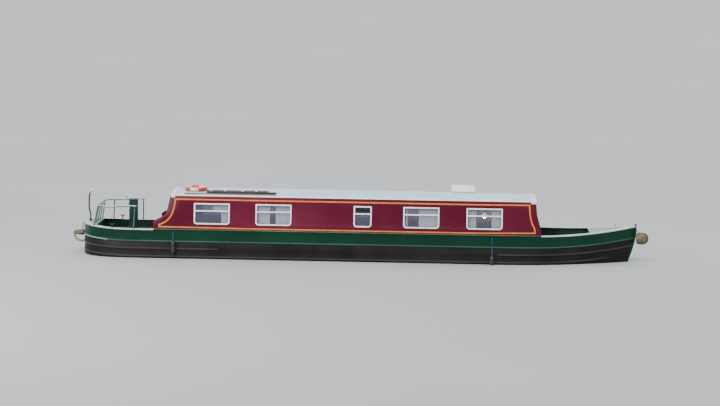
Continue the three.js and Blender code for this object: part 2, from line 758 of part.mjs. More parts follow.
function bulkhead(x, foot, sill) {
  const hullHalf = HALF_BEAM - PLATE - 2 * GAP;
  const baseHalf = CABIN_BASE_HALF - CABIN_WALL / Math.cos(LEAN) - 2 * GAP;
  const topHalf = baseHalf - Math.tan(LEAN) * CABIN_HIGH;
  const shoulder = GUNWALE_Z - CAP_THICK - GAP;
  const shape = new THREE.Shape();
  shape.moveTo(-hullHalf, foot);
  shape.lineTo(hullHalf, foot);
  shape.lineTo(hullHalf, shoulder);
  shape.lineTo(baseHalf, shoulder);
  shape.lineTo(topHalf, ROOF_Z);
  shape.lineTo(-topHalf, ROOF_Z);
  shape.lineTo(-baseHalf, shoulder);
  shape.lineTo(-hullHalf, shoulder);
  shape.holes.push(rectangle(new THREE.Path(), -DOORWAY_HALF, DOORWAY_HALF, sill, DOORWAY_TOP));
  const panel = alongX(shape, x, x + BULKHEAD_THICK, 0);
  const over = ROOF_Z + 100;
  const cabinRoom = box(x - 100, x + 100, -baseHalf, baseHalf, GUNWALE_Z - 100, over);
  return panel.intersect(plateRoom.add(cabinRoom));
}

// A door leaf with a raised panel, hinged at its outboard edge
function doorLeaf(x, outwards, side, sill) {
  const inner = 3;
  const outer = DOORWAY_HALF - DOOR_CLEAR;
  const y0 = Math.min(side * inner, side * outer);
  const y1 = Math.max(side * inner, side * outer);
  const z0 = sill + DOOR_CLEAR;
  const z1 = DOORWAY_TOP - DOOR_CLEAR;
  const leaf = box(x, x + 30, y0, y1, z0, z1);
  const face = outwards > 0 ? x + 24 : x - 8;
  const panel = box(face, face + 14, y0 + 50, y1 - 50, z0 + 70, z1 - 70);
  const knobAt = [x + 15, side * 34, (z0 + z1) / 2];
  const knobEnd = [knobAt[0] + outwards * 52, knobAt[1], knobAt[2]];
  return union([leaf, panel, solid(barGeometry(knobAt, knobEnd, 12))]);
}

// Propeller: a hub with three twisted blades, on its shaft
const HUB_FORE_X = PROPELLER_X + 48;
const PITCH = 300;

// Columns: share of the radius, chord there
const BLADE_SECTIONS = [
  [0.14, 70],
  [0.35, 128],
  [0.6, 150],
  [0.82, 120],
  [1, 40],
];

function propeller() {
  const hubAft = [PROPELLER_X - 55, 0, SHAFT_Z];
  const hub = solid(barGeometry(hubAft, [HUB_FORE_X, 0, SHAFT_Z], 38, 24));
  const blades = [0, 1, 2].map((i) => propellerBlade((i * Math.PI * 2) / 3));
  return union([hub, ...blades]);
}

function propellerBlade(turn) {
  const rows = BLADE_SECTIONS.map(([share, chord]) => {
    const r = PROPELLER_R * share;
    const pitch = Math.atan2(PITCH / (2 * Math.PI), r);
    const thick = 9 - 4 * share;
    return [
      [-chord / 2, -thick / 2],
      [chord / 2, -thick / 2],
      [chord / 2, thick / 2],
      [-chord / 2, thick / 2],
    ].map(([u, v]) => [
      u * Math.sin(pitch) + v * Math.cos(pitch),
      u * Math.cos(pitch) - v * Math.sin(pitch),
      r,
    ]);
  });
  const geometry = loftGeometry(rows);
  geometry.rotateX(turn).translate(PROPELLER_X, 0, SHAFT_Z);
  return solid(geometry);
}

const STOCK_TOP = GUNWALE_Z + STERN_SHEER + 60;

// Rudder: a stiffened blade on its stock, which runs up through the after deck
function rudder() {
  const stock = solid(barGeometry([RUDDER_X, 0, 30], [RUDDER_X, 0, STOCK_TOP], STOCK_R, 20));
  const outline = new THREE.Shape();
  roundedRect(outline, RUDDER_X - 385, RUDDER_X + 140, 66, 436, 40, 40);
  const blade = pushedOut(outline, 14, 3).rotateX(Math.PI / 2).translate(0, 7, 0);
  const bars = [130, 370].map((z) => box(RUDDER_X - 330, RUDDER_X + 10, -14, 14, z, z + 22));
  const collarZ = GUNWALE_Z + STERN_SHEER + 9;
  const collar = solid(barGeometry([RUDDER_X, 0, collarZ], [RUDDER_X, 0, collarZ + 30], 42, 24));
  return union([stock, solid(blade), ...bars, collar]);
}

// Tiller post: the bent bar above the rudder stock
function tillerPost() {
  const foot = STOCK_TOP + GAP;
  const route = [
    [0, 0],
    [0, 60],
    [-12, 150],
    [-38, 260],
    [-42, 420],
    [-36, 560],
    [-18, 660],
    [16, 722],
    [66, 742],
  ].map(([x, z]) => [RUDDER_X + x, 0, foot + z]);
  return solid(tubeGeometry(route, 20, 26, 12));
}

// Stern rail: a leaning guard rail round the steerer's deck
const RAIL_R = 21;
const RAIL_SIDE_HIGH = 560;
const RAIL_AFT_HIGH = 490;
const RAIL_POST_R = 16;

// Columns: foot X, foot Y, top X, top Y of each post
const RAIL_POSTS = [
  [-5780, -985, -5760, -852],
  [-6830, -740, -6745, -630],
  [-6840, -370, -6755, -330],
  [-6840, 0, -6755, 0],
  [-6840, 370, -6755, 330],
  [-6830, 740, -6745, 630],
  [-6560, 930, -6520, 812],
  [-6060, 985, -6040, 852],
  [-5780, 985, -5760, 852],
];

function sternRail() {
  const topAft = gunwaleZ(-6830) + RAIL_AFT_HIGH;
  const topFore = GUNWALE_Z + RAIL_SIDE_HIGH;
  const side = (y) => [
    [-5725, y * 855, topFore],
    [-6100, y * 850, topFore - 8],
    [-6450, y * 830, topFore - 30],
    [-6640, y * 770, topAft + 8],
    [-6730, y * 660, topAft],
    [-6755, y * 500, topAft],
  ];
  const route = [...side(-1), [-6760, 0, topAft], ...side(1).reverse()];
  const rail = solid(tubeGeometry(route, RAIL_R, 36, 8));
  const posts = RAIL_POSTS.map(([x0, y0, x1, y1]) => {
    const top = x1 < -6700 ? topAft : topFore - 10;
    return solid(barGeometry([x0, y0, deckTop(x0) + 6], [x1, y1, top], RAIL_POST_R, 8));
  });
  const pads = RAIL_POSTS.map(([x, y]) => {
    const foot = deckTop(x);
    return solid(barGeometry([x, y, foot], [x, y, foot + 14], 32, 12));
  });
  return union([rail, ...posts, ...pads]);
}

// Where a fitting may stand on the rising stern, just clear of the plate
function deckTop(x) {
  return gunwaleZ(x - 110) + GAP;
}

// Engine control column with its lever
const COLUMN_X = -5905;
const COLUMN_HALF = 105;
const COLUMN_CAP_HALF = 118;

function controlColumn() {
  const x = COLUMN_X;
  const half = COLUMN_HALF;
  const wide = COLUMN_CAP_HALF;
  const z0 = STEERER_DECK_Z + GAP;
  const column = box(x - half, x + half, -half, half, z0, z0 + 830);
  const cap = box(x - wide, x + wide, -wide, wide, z0 + 825, z0 + 850);
  return union([column, cap]);
}

function controlLever() {
  const x = COLUMN_X - COLUMN_CAP_HALF - GAP;
  const z = STEERER_DECK_Z + 740;
  const boss = solid(barGeometry([x, 0, z], [x - 40, 0, z], 38, 20));
  const lever = solid(barGeometry([x - 28, 0, z], [x - 60, 0, z + 150], 8, 10));
  const knob = solid(new THREE.SphereGeometry(20, 16, 10).translate(x - 62, 0, z + 158));
  return union([boss, lever, knob]).intersect(box(x - 200, x, -200, 200, z - 100, z + 300));
}

// Mooring dolly on the side deck
function dolly(side) {
  const x = -6330;
  const y = side * 960;
  const foot = deckTop(x);
  const plate = solid(barGeometry([x, y, foot], [x, y, foot + 10], 34, 16));
  const post = solid(barGeometry([x, y, foot], [x, y, foot + 100], 16, 12));
  const bar = solid(barGeometry([x - 62, y, foot + 82], [x + 62, y, foot + 82], 13, 12));
  return union([plate, post, bar]);
}

// Rope fenders at the stern and the stem, each out to the same distance past the steel
const FENDER_LONG = 310;
const STERN_FENDER_Z = 1000;

function sternFender() {
  const z = STERN_FENDER_Z;
  const x0 = -HALF_LENGTH - GUARD_OUT - 4;
  const long = FENDER_LONG + HALF_LENGTH + x0;
  const profile = [
    [0, 0],
    [150, 0.02],
    [165, 0.14],
    [158, 0.42],
    [140, 0.72],
    [100, 0.93],
    [0, 1],
  ];
  const body = lathed(profile.map(([r, share]) => [r, share * long]));
  body.rotateY(-Math.PI / 2).scale(1, 1, 0.42).translate(x0, 0, z);
  const hoops = [-1, 1].map((side) => {
    const y = side * 90;
    const route = [
      [x0 - 252, y * 0.5, z - 12],
      [x0 - 268, y * 0.7, z - 66],
      [x0 - 232, y * 0.9, z - 146],
      [x0 - 150, y, z - 214],
      [x0 - 8, y * 1.05, z - 232],
    ];
    return solid(tubeGeometry(route, 13, 18, 8));
  });
  const hangers = [-1, 1].map((side) => {
    const from = [x0 - 70, side * 80, z + 40];
    return solid(barGeometry(from, [x0 - 9, side * 96, gunwaleZ(x0) - 24], 9, 8));
  });
  return union([solid(body), ...hoops, ...hangers]);
}

function lathed(points, segments = 32) {
  const profile = points.map(([r, h]) => new THREE.Vector2(r, h));
  return new THREE.LatheGeometry(profile, segments).rotateX(Math.PI / 2);
}

function bowFender() {
  const z = GUNWALE_Z + BOW_SHEER - 330;
  const [x] = bowPoint(1, z);
  const root = x + 6;
  const long = HALF_LENGTH + FENDER_LONG - root;
  const profile = [
    [0, 0],
    [110, 0.03],
    [150, 0.2],
    [156, 0.5],
    [136, 0.78],
    [80, 0.95],
    [0, 1],
  ];
  const body = lathed(profile.map(([r, share]) => [r, share * long]));
  body.rotateY(Math.PI / 2).scale(1, 0.72, 1).translate(root, 0, z);
  const links = [-1, 1].map((side) => {
    const route = [
      [x + 120, side * 60, z + 100],
      [x + 70, side * 74, z + 170],
      [x + 6, side * 70, z + 226],
    ];
    return solid(tubeGeometry(route, 12, 8, 8));
  });
  const ahead = box(root, FAR, -400, 400, z - 400, z + 400);
  return union([solid(body), ...links]).intersect(ahead);
}

// Side fenders on lanyards, hung over the starboard side from eyes on the gunwale
const SIDE_FENDER_R = 58;
const SIDE_FENDER_LONG = 340;
const FENDER_BORE_R = 9;
const FENDER_DROP = 3; // from the end of a route to the head of its fender
const LANYARD_R = 6;
const KNOT_R = 15;
const LANYARD_STEPS = [60, 120, 180, 240, 300]; // down through the fender
const EYE_Y = -HALF_BEAM - 22;
const EYE_Z = GUNWALE_Z - 26;

// Columns: Y and Z along each lanyard, from its eye down to the head of the fender
const SHORT_LANYARD = [
  [-1062, 1222.5],
  [-1064.5, 1206.9],
  [-1067.5, 1191.3],
  [-1070.8, 1175.7],
  [-1074.4, 1160.1],
  [-1078.3, 1144.5],
  [-1082.3, 1128.9],
  [-1086.4, 1113.3],
  [-1090.6, 1097.7],
  [-1094.7, 1082.1],
  [-1098.7, 1066.5],
  [-1102.6, 1050.9],
  [-1106.2, 1035.4],
  [-1109.5, 1019.8],
  [-1112.5, 1004.2],
  [-1115, 988.6],
];
const LONG_LANYARD = [
  [-1062, 1222.5],
  [-1064, 1197.9],
  [-1066.2, 1173.3],
  [-1068.7, 1148.8],
  [-1071.4, 1124.2],
  [-1074.2, 1099.6],
  [-1077.3, 1075],
  [-1080.4, 1050.5],
  [-1083.6, 1025.9],
  [-1086.9, 1001.3],
  [-1090.1, 976.7],
  [-1093.4, 952.2],
  [-1096.6, 927.6],
  [-1099.7, 903],
  [-1102.8, 878.4],
  [-1105.6, 853.9],
  [-1108.3, 829.3],
  [-1110.8, 804.7],
  [-1113, 780.1],
  [-1115, 755.6],
];
const SIDE_FENDERS = [
  { x: -4745, route: SHORT_LANYARD },
  { x: 3412, route: LONG_LANYARD },
];

function gunwaleEye(x) {
  return box(x - 12, x + 12, EYE_Y - 9, -HALF_BEAM - 4, EYE_Z, GUNWALE_Z - 2);
}

function sideFender(x, route) {
  const [y, top] = route.at(-1);
  const profile = [
    [0, 0],
    [20, 0],
    [34, 14],
    [50, 36],
    [SIDE_FENDER_R, 84],
    [SIDE_FENDER_R, SIDE_FENDER_LONG - 84],
    [50, SIDE_FENDER_LONG - 48],
    [22, SIDE_FENDER_LONG - 22],
    [16, SIDE_FENDER_LONG],
    [0, SIDE_FENDER_LONG],
  ];
  const bore = barGeometry([0, 0, -FAR], [0, 0, FAR], FENDER_BORE_R, 12);
  const body = solid(lathed(profile, 28)).subtract(solid(bore));
  return body.translate([x, y, top - FENDER_DROP - SIDE_FENDER_LONG]);
}

// A lanyard runs on through the bore of its fender to the stopper knot that carries it
function lanyard(x, route) {
  const [y, top] = route.at(-1);
  const knotZ = top - FENDER_DROP - SIDE_FENDER_LONG - 2 - KNOT_R;
  const line = [...route, ...LANYARD_STEPS.map((drop) => [y, top - drop]), [y, knotZ]];
  const cord = tubeGeometry(line.map(([cordY, z]) => [x, cordY, z]), LANYARD_R, 24, 8);
  const knot = new THREE.SphereGeometry(KNOT_R, 14, 10).translate(x, y, knotZ);
  return union([solid(cord), solid(knot)]);
}

// Lifebuoy lying on the roof, from the crown down the starboard slope
function lifebuoy() {
  const thick = 0.95; // the ring is a little flatter than round
  const slope = 0.028; // in radians, from the crown to its near edge
  const ring = new THREE.TorusGeometry(245, 56, 10, 28).scale(1, 1, thick);
  ring.translate(0, -150, 56 * thick + 2 * GAP).rotateX(slope);
  return solid(ring.translate(-4253, 0, roofTopAt(0)));
}

// Gangplank on two bearers, and the pole that lies on the starboard grab rail
function gangplank() {
  const [x0, x1, y0, y1] = [-3940, -2156, -660, -360];
  const top = roofTopAt(y0 + 10);
  const z = roofTopAt(y1 - 10) + 8;
  const board = box(x0, x1, y0, y1, z, z + 44);
  const battens = [-3825, -3467, -3018, -2662].map((x) => {
    return box(x - 22, x + 22, y0, y1, z + 40, z + 56);
  });
  const roofShape = alongX(roofSection(0), x0, x1, ROOF_Z + 3 * GAP);
  const bearers = [-3740, -2330].map((x) => {
    return box(x - 30, x + 30, y0 + 10, y1 - 10, top - 4, z + 4).subtract(roofShape);
  });
  return union([board, ...battens, ...bearers]);
}

function boatPole() {
  const r = 17;
  const y = -(CABIN_TOP_HALF - 17 - GRAB_RAIL_WIDE / 2);
  const z = ROOF_Z + GRAB_RAIL_HIGH + r + GAP;
  return solid(barGeometry([-4490, y, z], [-2140, y, z], r, 12));
}

// Roof hatch: a low coaming near the port edge and its lid, propped open on its inboard hinge
function roofHatch() {
  const { x0, x1, y0, y1 } = HATCH;
  const wall = HATCH_WALL;
  const foot = roofTopAt(y1) - 20;
  const top = roofTopAt(y0) + HATCH_RISE;
  const outer = box(x0, x1, y0, y1, foot, top);
  const inner = box(x0 + wall, x1 - wall, y0 + wall, y1 - wall, foot - 50, top + 50);
  const roofShape = alongX(roofSection(0), x0 - 50, x1 + 50, ROOF_Z + 3 * GAP);
  return outer.subtract(inner).subtract(roofShape);
}

function roofHatchLid() {
  const { x0, x1, y0, y1 } = HATCH;
  const deep = y1 - y0 + 16;
  const lid = box(x0 - 8, x1 + 8, 0, deep, 0, 20);
  const lip = box(x0 + 40, x1 - 40, 46, deep - 46, -10, 4);
  const turned = lid.add(lip).rotate([HATCH_OPEN, 0, 0]);
  return turned.translate([0, y0 - 8, roofTopAt(y0) + HATCH_RISE + 8]);
}

// Curtains inside the windows of one side, on one rail
// Columns: window index, start and end of the panel as shares of the window
const PARTED_CURTAINS = [
  [0, 0.52, 1],
  [1, 0, 0.4],
  [1, 0.56, 1],
  [3, 0, 0.13],
  [3, 0.43, 1],
  [4, 0, 0.27],
  [4, 0.7, 1],
];
const DRAWN_CURTAINS = WINDOWS.map((_, index) => [index, 0, 1]);

function curtains(panels) {
  const railZ = WINDOW_LOW + WINDOW_HIGH + 18;
  const rail = rectangle(new THREE.Shape(), -4350, 3760, railZ - 8, railZ + 8);
  const solids = [solid(panelGeometry(rail, 16, -CABIN_WALL - 22))];
  for (const [index, from, to] of panels) {
    const [centre, wide] = WINDOWS[index];
    const x0 = centre - wide / 2;
    const cloth = new THREE.Shape();
    rectangle(cloth, x0 + wide * from, x0 + wide * to, WINDOW_LOW - 10, railZ + 4);
    solids.push(solid(panelGeometry(cloth, 20, -CABIN_WALL - 20)));
  }
  return union(solids);
}

// Assembly: hull
const roofBody = roof();
addNode("base_plate", geometryOf(basePlate()), "hullBlack");
addNode("stem_post", geometryOf(stem), "hullBlack");
addNode("stern_post", geometryOf(sternPost()), "hullBlack");
addBothSides("hull_side", hullSide(), "hullBlack");
const strake = topStrake();
const eyes = SIDE_FENDERS.map(({ x }) => gunwaleEye(x));
addNode("top_strake_port", geometryOf(strake), "bandGreen");
addNode("top_strake_starboard", geometryOf(union([mirrored(strake), ...eyes])), "bandGreen");
addNode("uxter_plate", geometryOf(uxterPlate()), "hullBlack");
addNode("after_deck", geometryOf(afterDeck()), "deckPale");
addNode("fore_deck", geometryOf(foreDeck()), "deckPale");
const wellAft = FORE_BULKHEAD_X + BULKHEAD_THICK + GAP;
const sternFore = AFT_BULKHEAD_X - GAP;
const steererDeck = lowDeck(AFTER_DECK_X + LINING + GAP, sternFore, STEERER_DECK_Z);
addNode("steerer_deck", geometryOf(steererDeck), "deckBrown");
addNode("well_deck", geometryOf(lowDeck(wellAft, FOREDECK_X - GAP, WELL_DECK_Z)), "deckBrown");
const sternLining = wellLining(AFTER_DECK_X, sternFore, STEERER_DECK_Z - 60, AFTER_DECK_X);
addNode("stern_lining", geometryOf(sternLining), "liningGreen");
const bowLining = wellLining(wellAft, FOREDECK_X + LINING, WELL_DECK_Z - 60, FOREDECK_X);
addNode("bow_lining", geometryOf(bowLining), "liningGreen");

// Assembly: cabin
const side = cabinSide();
addNode("cabin_side_starboard", geometryOf(side), "cabinMaroon");
addNode("cabin_side_port", geometryOf(mirrored(side)), "cabinMaroon");
addNode("roof", geometryOf(roofBody), "roofPale");
const aftBulkhead = bulkhead(AFT_BULKHEAD_X, 520, STERN_SILL_Z);
const foreBulkhead = bulkhead(FORE_BULKHEAD_X, FLOOR_Z + GAP, BOW_SILL_Z);
const cabinFloor = box(-4740, 4420, -890, 890, FLOOR_Z - DECK_THICK, FLOOR_Z);
addNode("aft_bulkhead", geometryOf(aftBulkhead), "cabinMaroon");
addNode("fore_bulkhead", geometryOf(foreBulkhead), "cabinMaroon");
addNode("cabin_floor", geometryOf(cabinFloor), "deckBrown");
WINDOWS.forEach(([centre, wide], i) => {
  const unit = windowUnit(centre, wide);
  addNode(`window_${i + 1}_starboard`, geometryOf(unit), "frameWhite");
  addNode(`window_${i + 1}_port`, geometryOf(mirrored(unit)), "frameWhite");
});
addNode("curtains_starboard", geometryOf(curtains(PARTED_CURTAINS)), "lace");
addNode("curtains_port", geometryOf(mirrored(curtains(DRAWN_CURTAINS))), "lace");
for (const [name, turn] of [["port", 1], ["starboard", -1]]) {
  const sternDoor = doorLeaf(AFT_BULKHEAD_X + 4, -1, turn, STERN_SILL_Z);
  const bowDoor = doorLeaf(FORE_BULKHEAD_X + 6, 1, turn, BOW_SILL_Z);
  addNode(`stern_door_${name}`, geometryOf(sternDoor), "doorMaroon");
  addNode(`bow_door_${name}`, geometryOf(bowDoor), "doorMaroon");
}

// Assembly: roof gear
addNode("roof_hatch", geometryOf(roofHatch()), "frameWhite");
addNode("roof_hatch_lid", geometryOf(roofHatchLid()), "frameWhite");
addNode("lifebuoy", geometryOf(lifebuoy()), "lifebuoyRed");
addNode("gangplank", geometryOf(gangplank()), "plankWood");
addNode("boat_pole", geometryOf(boatPole()), "plankWood");

// Assembly: steering and drive
addNode("rudder", geometryOf(rudder()), "steelDark");
addNode("tiller_post", geometryOf(tillerPost()), "steelDark");
addNode("propeller", geometryOf(propeller()), "bronze");
const shaftAft = [HUB_FORE_X + GAP, 0, SHAFT_Z];
addNode("propeller_shaft", barGeometry(shaftAft, [-6100, 0, SHAFT_Z], SHAFT_R, 20), "steelDark");
addNode("engine", geometryOf(box(-5500, -4850, -230, 230, 240, 860)), "engineGrey");
addNode("control_column", geometryOf(controlColumn()), "liningGreen");
addNode("control_lever", geometryOf(controlLever()), "steelDark");

// Assembly: deck gear and fenders
addNode("stern_rail", geometryOf(sternRail()), "railGreen");
addNode("dolly_port", geometryOf(dolly(1)), "railGreen");
addNode("dolly_starboard", geometryOf(dolly(-1)), "railGreen");
addNode("stern_fender", geometryOf(sternFender()), "rope");
addNode("bow_fender", geometryOf(bowFender()), "rope");
SIDE_FENDERS.forEach(({ x, route }, i) => {
  addNode(`side_fender_${i + 1}`, geometryOf(sideFender(x, route)), "rubber");
  addNode(`fender_lanyard_${i + 1}`, geometryOf(lanyard(x, route)), "lanyardBlue");
});

export default boat;
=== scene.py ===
# %% [markdown]
# # A steel narrowboat
#
# A narrowboat is a long thin canal boat: a welded steel hull, a cabin that runs nearly its whole length, an
# open well at each end, and a steerer who stands at the stern. The hull, cabin, rudder, doors and the rest
# were drawn as solids beforehand, in metres, with X towards the bow, Y to port and Z up. This lesson dresses
# them: it gives each solid softened edges and a real finish, and adds what the solids leave out, such as
# paint lines, window frames, curtains, planks, rope and panels.
#
# The first step loads the solids. Nothing added later may leave that box.

import json
import math

import bpy
from mathutils import Matrix, Vector

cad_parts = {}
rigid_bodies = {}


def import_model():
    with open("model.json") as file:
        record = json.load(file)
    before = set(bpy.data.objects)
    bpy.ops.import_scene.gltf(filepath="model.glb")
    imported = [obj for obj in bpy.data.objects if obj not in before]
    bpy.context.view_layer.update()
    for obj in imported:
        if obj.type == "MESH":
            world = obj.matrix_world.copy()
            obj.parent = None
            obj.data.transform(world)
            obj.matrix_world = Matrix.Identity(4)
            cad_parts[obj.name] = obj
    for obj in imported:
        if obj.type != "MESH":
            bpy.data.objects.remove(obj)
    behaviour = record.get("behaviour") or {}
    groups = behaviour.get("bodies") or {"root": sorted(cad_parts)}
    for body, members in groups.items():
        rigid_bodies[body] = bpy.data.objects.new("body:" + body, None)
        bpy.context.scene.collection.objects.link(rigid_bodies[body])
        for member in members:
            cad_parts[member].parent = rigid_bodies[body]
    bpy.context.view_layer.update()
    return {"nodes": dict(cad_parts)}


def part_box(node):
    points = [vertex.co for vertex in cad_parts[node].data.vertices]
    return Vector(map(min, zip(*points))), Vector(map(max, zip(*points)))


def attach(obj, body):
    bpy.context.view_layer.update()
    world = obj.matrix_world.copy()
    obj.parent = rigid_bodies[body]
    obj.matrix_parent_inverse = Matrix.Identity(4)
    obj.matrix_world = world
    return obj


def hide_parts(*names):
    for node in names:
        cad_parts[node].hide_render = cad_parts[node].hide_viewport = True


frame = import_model()

# %% [markdown]
# ## Camera
#
# The picture was taken from nearly sixty metres away with a long lens, a few metres above the water, so the
# long side shows almost without perspective. A camera could be placed by eye, but here the known sizes of the
# windows and the hull fix it: one place and one lens put every window corner where the picture has it. The
# camera is turned two degrees towards the stern and 6.7 degrees down, and leans by a little under one degree.

# %% Place the camera
CAMERA_AT = (1.9436, -57.387, 8.6328)
LENS = 111.364
TOWARDS_STERN, DOWN, ROLL = 0.034, 0.11672, 0.01492

bpy.ops.object.select_all(action="DESELECT")
bpy.ops.object.camera_add(location=CAMERA_AT)
camera = bpy.context.object
camera.name = "photo_camera"
camera.data.sensor_width = 36
camera.data.lens = LENS
camera.data.clip_end = 4000
aim = Matrix.Rotation(TOWARDS_STERN, 4, "Z") @ Matrix.Rotation(math.pi / 2 - DOWN, 4, "X")
aim = aim @ Matrix.Rotation(ROLL, 4, "Z")
camera.matrix_world = Matrix.Translation(camera.location) @ aim
bpy.context.scene.camera = camera
print("camera at", tuple(round(v, 2) for v in camera.location), "lens", camera.data.lens)

# %% [markdown]
# ## Floor and light
#
# The boat floats, so the floor of the picture lies at the waterline and hides the lower half metre of the
# hull, as water would. It has a hole where the cabin is, or it would show through the windows as a pale
# sheet above the cabin floor. The floor starts as a plane of the hole's size. Its edges are extruded and
# scaled far out, which leaves a ring round the first face, and that face is deleted.

# %% Make the floor
def take(piece):
    """Makes this piece the only selected one, and the active one"""
    bpy.ops.object.select_all(action="DESELECT")
    piece.select_set(True)
    bpy.context.view_layer.objects.active = piece
    return piece


def place_done(piece, name):
    """Puts the object's own origin at the middle of the boat's keel, and names the piece"""
    take(piece)
    bpy.ops.object.transform_apply(location=True, rotation=True, scale=True)
    piece.name = name
    return piece


WATERLINE = 0.5
HOLE_MIDDLE = -0.15
HOLE_LONG, HOLE_WIDE = 9.0, 1.9
SPREAD_ALONG, SPREAD_ACROSS = 330, 1700

bpy.ops.object.select_all(action="DESELECT")
bpy.ops.mesh.primitive_plane_add(size=1, location=(HOLE_MIDDLE, 0, WATERLINE))
floor = bpy.context.object
floor.scale = (HOLE_LONG, HOLE_WIDE, 1)
place_done(floor, "floor")
bpy.ops.object.mode_set(mode="EDIT")
bpy.ops.mesh.select_all(action="SELECT")
bpy.ops.mesh.extrude_edges_indiv()
bpy.ops.transform.resize(value=(SPREAD_ALONG, SPREAD_ACROSS, 1), center_override=(0, 0, WATERLINE))
bpy.ops.mesh.select_all(action="DESELECT")
bpy.ops.object.mode_set(mode="OBJECT")
middle_face = min(floor.data.polygons, key=lambda face: face.area)
middle_face.select = True
bpy.ops.object.mode_set(mode="EDIT")
bpy.ops.mesh.delete(type="FACE")
bpy.ops.object.mode_set(mode="OBJECT")
print("floor has", len(floor.data.polygons), "faces round the hole")

# %% [markdown]
# The day in the picture is overcast: light comes from the whole sky, shadows are soft, and flat roofs are far
# brighter than upright sides. A sky that is pale overhead and darker at the horizon gives that, because
# upright sides mirror and face the lower part. One broad sun stands high behind the camera. The stern is
# nearest to open water and gets more light than the bow, so a large lamp off the stern adds the rest.

# %% Light the scene
def linear(red, green, blue):
    """A screen colour, 0 to 255, as the linear colour that shaders use"""
    shares = (value / 255 for value in (red, green, blue))
    return tuple(s / 12.92 if s <= 0.04045 else ((s + 0.055) / 1.055) ** 2.4 for s in shares) + (1.0,)


HORIZON = (0.22, 0.24, 0.28, 1)
OVERHEAD = (0.9, 0.95, 1.0, 1)
SKY_STRENGTH = 1.7
SUN_ENERGY = 2.0
STERN_LIGHT_ENERGY = 1500

sky = bpy.data.worlds.new("overcast_sky")
sky.use_nodes = True
tree = sky.node_tree
way = tree.nodes.new("ShaderNodeTexCoord")
split = tree.nodes.new("ShaderNodeSeparateXYZ")
ramp = tree.nodes.new("ShaderNodeValToRGB")
ramp.color_ramp.elements[0].color = HORIZON
ramp.color_ramp.elements[1].color = OVERHEAD
ramp.color_ramp.elements[1].position = 0.75
tree.links.new(way.outputs["Generated"], split.inputs["Vector"])
tree.links.new(split.outputs["Z"], ramp.inputs["Fac"])
tree.links.new(ramp.outputs["Color"], tree.nodes["Background"].inputs["Color"])
tree.nodes["Background"].inputs["Strength"].default_value = SKY_STRENGTH
bpy.context.scene.world = sky

bpy.ops.object.light_add(type="SUN", location=(-10, -20, 30))
sun = bpy.context.object
sun.name = "broad_sun"
sun.data.energy = SUN_ENERGY
sun.data.angle = math.radians(40)
sun.data.color = (1.0, 0.97, 0.94)
sun.rotation_euler = (math.radians(40), 0, math.radians(-24))

bpy.ops.object.light_add(type="AREA", location=(-15, -15, 9))
stern_light = bpy.context.object
stern_light.name = "stern_light"
stern_light.data.size = 7
stern_light.data.energy = STERN_LIGHT_ENERGY
stern_light.rotation_euler = Vector((9, 15, -8)).to_track_quat("-Z", "Y").to_euler()
print("sun energy", SUN_ENERGY, "and stern light", STERN_LIGHT_ENERGY)

# %% [markdown]
# ## Paints
#
# Nearly every surface of the boat is painted steel, and no paint is one even colour. Rain leaves faint
# upright streaks, sun fades it in patches, and close up there is a fine ripple from the brush. One helper
# builds such a finish from three noises on the object's own coordinates: a wide one that mixes two tones, a
# middle one that varies the gloss, and a fine one that becomes the ripple. Values that are the same all over
# stay on the shader's own sockets. Two smaller helpers add a node and fill in its inputs.

# %% Paint helper
def filled(node, **values):
    """Sets a node's inputs, or links them to other nodes' outputs; underscores stand for spaces"""
    for name, value in values.items():
        socket = node.inputs[name.replace("_", " ")]
        if isinstance(value, bpy.types.NodeSocket):
            node.id_data.links.new(value, socket)
        else:
            socket.default_value = value
    return node


def added(tree, kind, **values):
    """A new node of that kind with its inputs filled"""
    return filled(tree.nodes.new(f"ShaderNode{kind}"), **values)


def new_finish(name):
    """A new material with its node tree and its shader"""
    material = bpy.data.materials.new(name)
    material.use_nodes = True
    tree = material.node_tree
    return material, tree, tree.nodes["Principled BSDF"]


def noise_on(tree, scale, detail=3.0, stretch=(1, 1, 1)):
    """Noise on the object's own coordinates, in waves per metre, stretched along an axis by a small number"""
    place = added(tree, "TexCoord").outputs["Object"]
    turn = added(tree, "Mapping", Vector=place, Scale=stretch)
    return added(tree, "TexNoise", Vector=turn.outputs["Vector"], Scale=scale, Detail=detail).outputs["Fac"]


def ranged(tree, value, low, high, start=0.35, end=0.65):
    """The value between start and end spread over low to high"""
    spread = added(tree, "MapRange", Value=value, From_Min=start, From_Max=end, To_Min=low, To_Max=high)
    return spread.outputs["Result"]


def mixed(tree, share, first, second):
    """Two colours, or colour outputs, mixed by a share from 0 to 1"""
    mix = tree.nodes.new("ShaderNodeMix")
    mix.data_type = "RGBA"
    for socket, colour in ((mix.inputs["A"], first), (mix.inputs["B"], second)):
        if isinstance(colour, tuple):
            socket.default_value = colour
        else:
            tree.links.new(colour, socket)
    tree.links.new(share, mix.inputs["Factor"])
    return mix.outputs["Result"]


def raised(tree, height, distance, strength=0.6):
    """Relief of that height in metres on the material's shader"""
    bump = added(tree, "Bump", Height=height, Distance=distance, Strength=strength)
    filled(tree.nodes["Principled BSDF"], Normal=bump.outputs["Normal"])


def paint(name, fresh, faded, rough=(0.25, 0.4), patch=0.9, streak=(1, 1, 0.3), ripple=90, deep=0.0004,
          shine=0.5, metal=0.0):
    """A painted finish in two tones, with uneven gloss and a fine ripple"""
    material, tree, shader = new_finish(name)
    tone = ranged(tree, noise_on(tree, patch, 5, streak), 0, 1)
    gloss = ranged(tree, noise_on(tree, patch * 6, 4), *rough)
    filled(shader, Metallic=metal, Specular_IOR_Level=shine, Roughness=gloss)
    filled(shader, Base_Color=mixed(tree, tone, linear(*fresh), linear(*faded)))
    raised(tree, noise_on(tree, ripple, 2), deep)
    return material


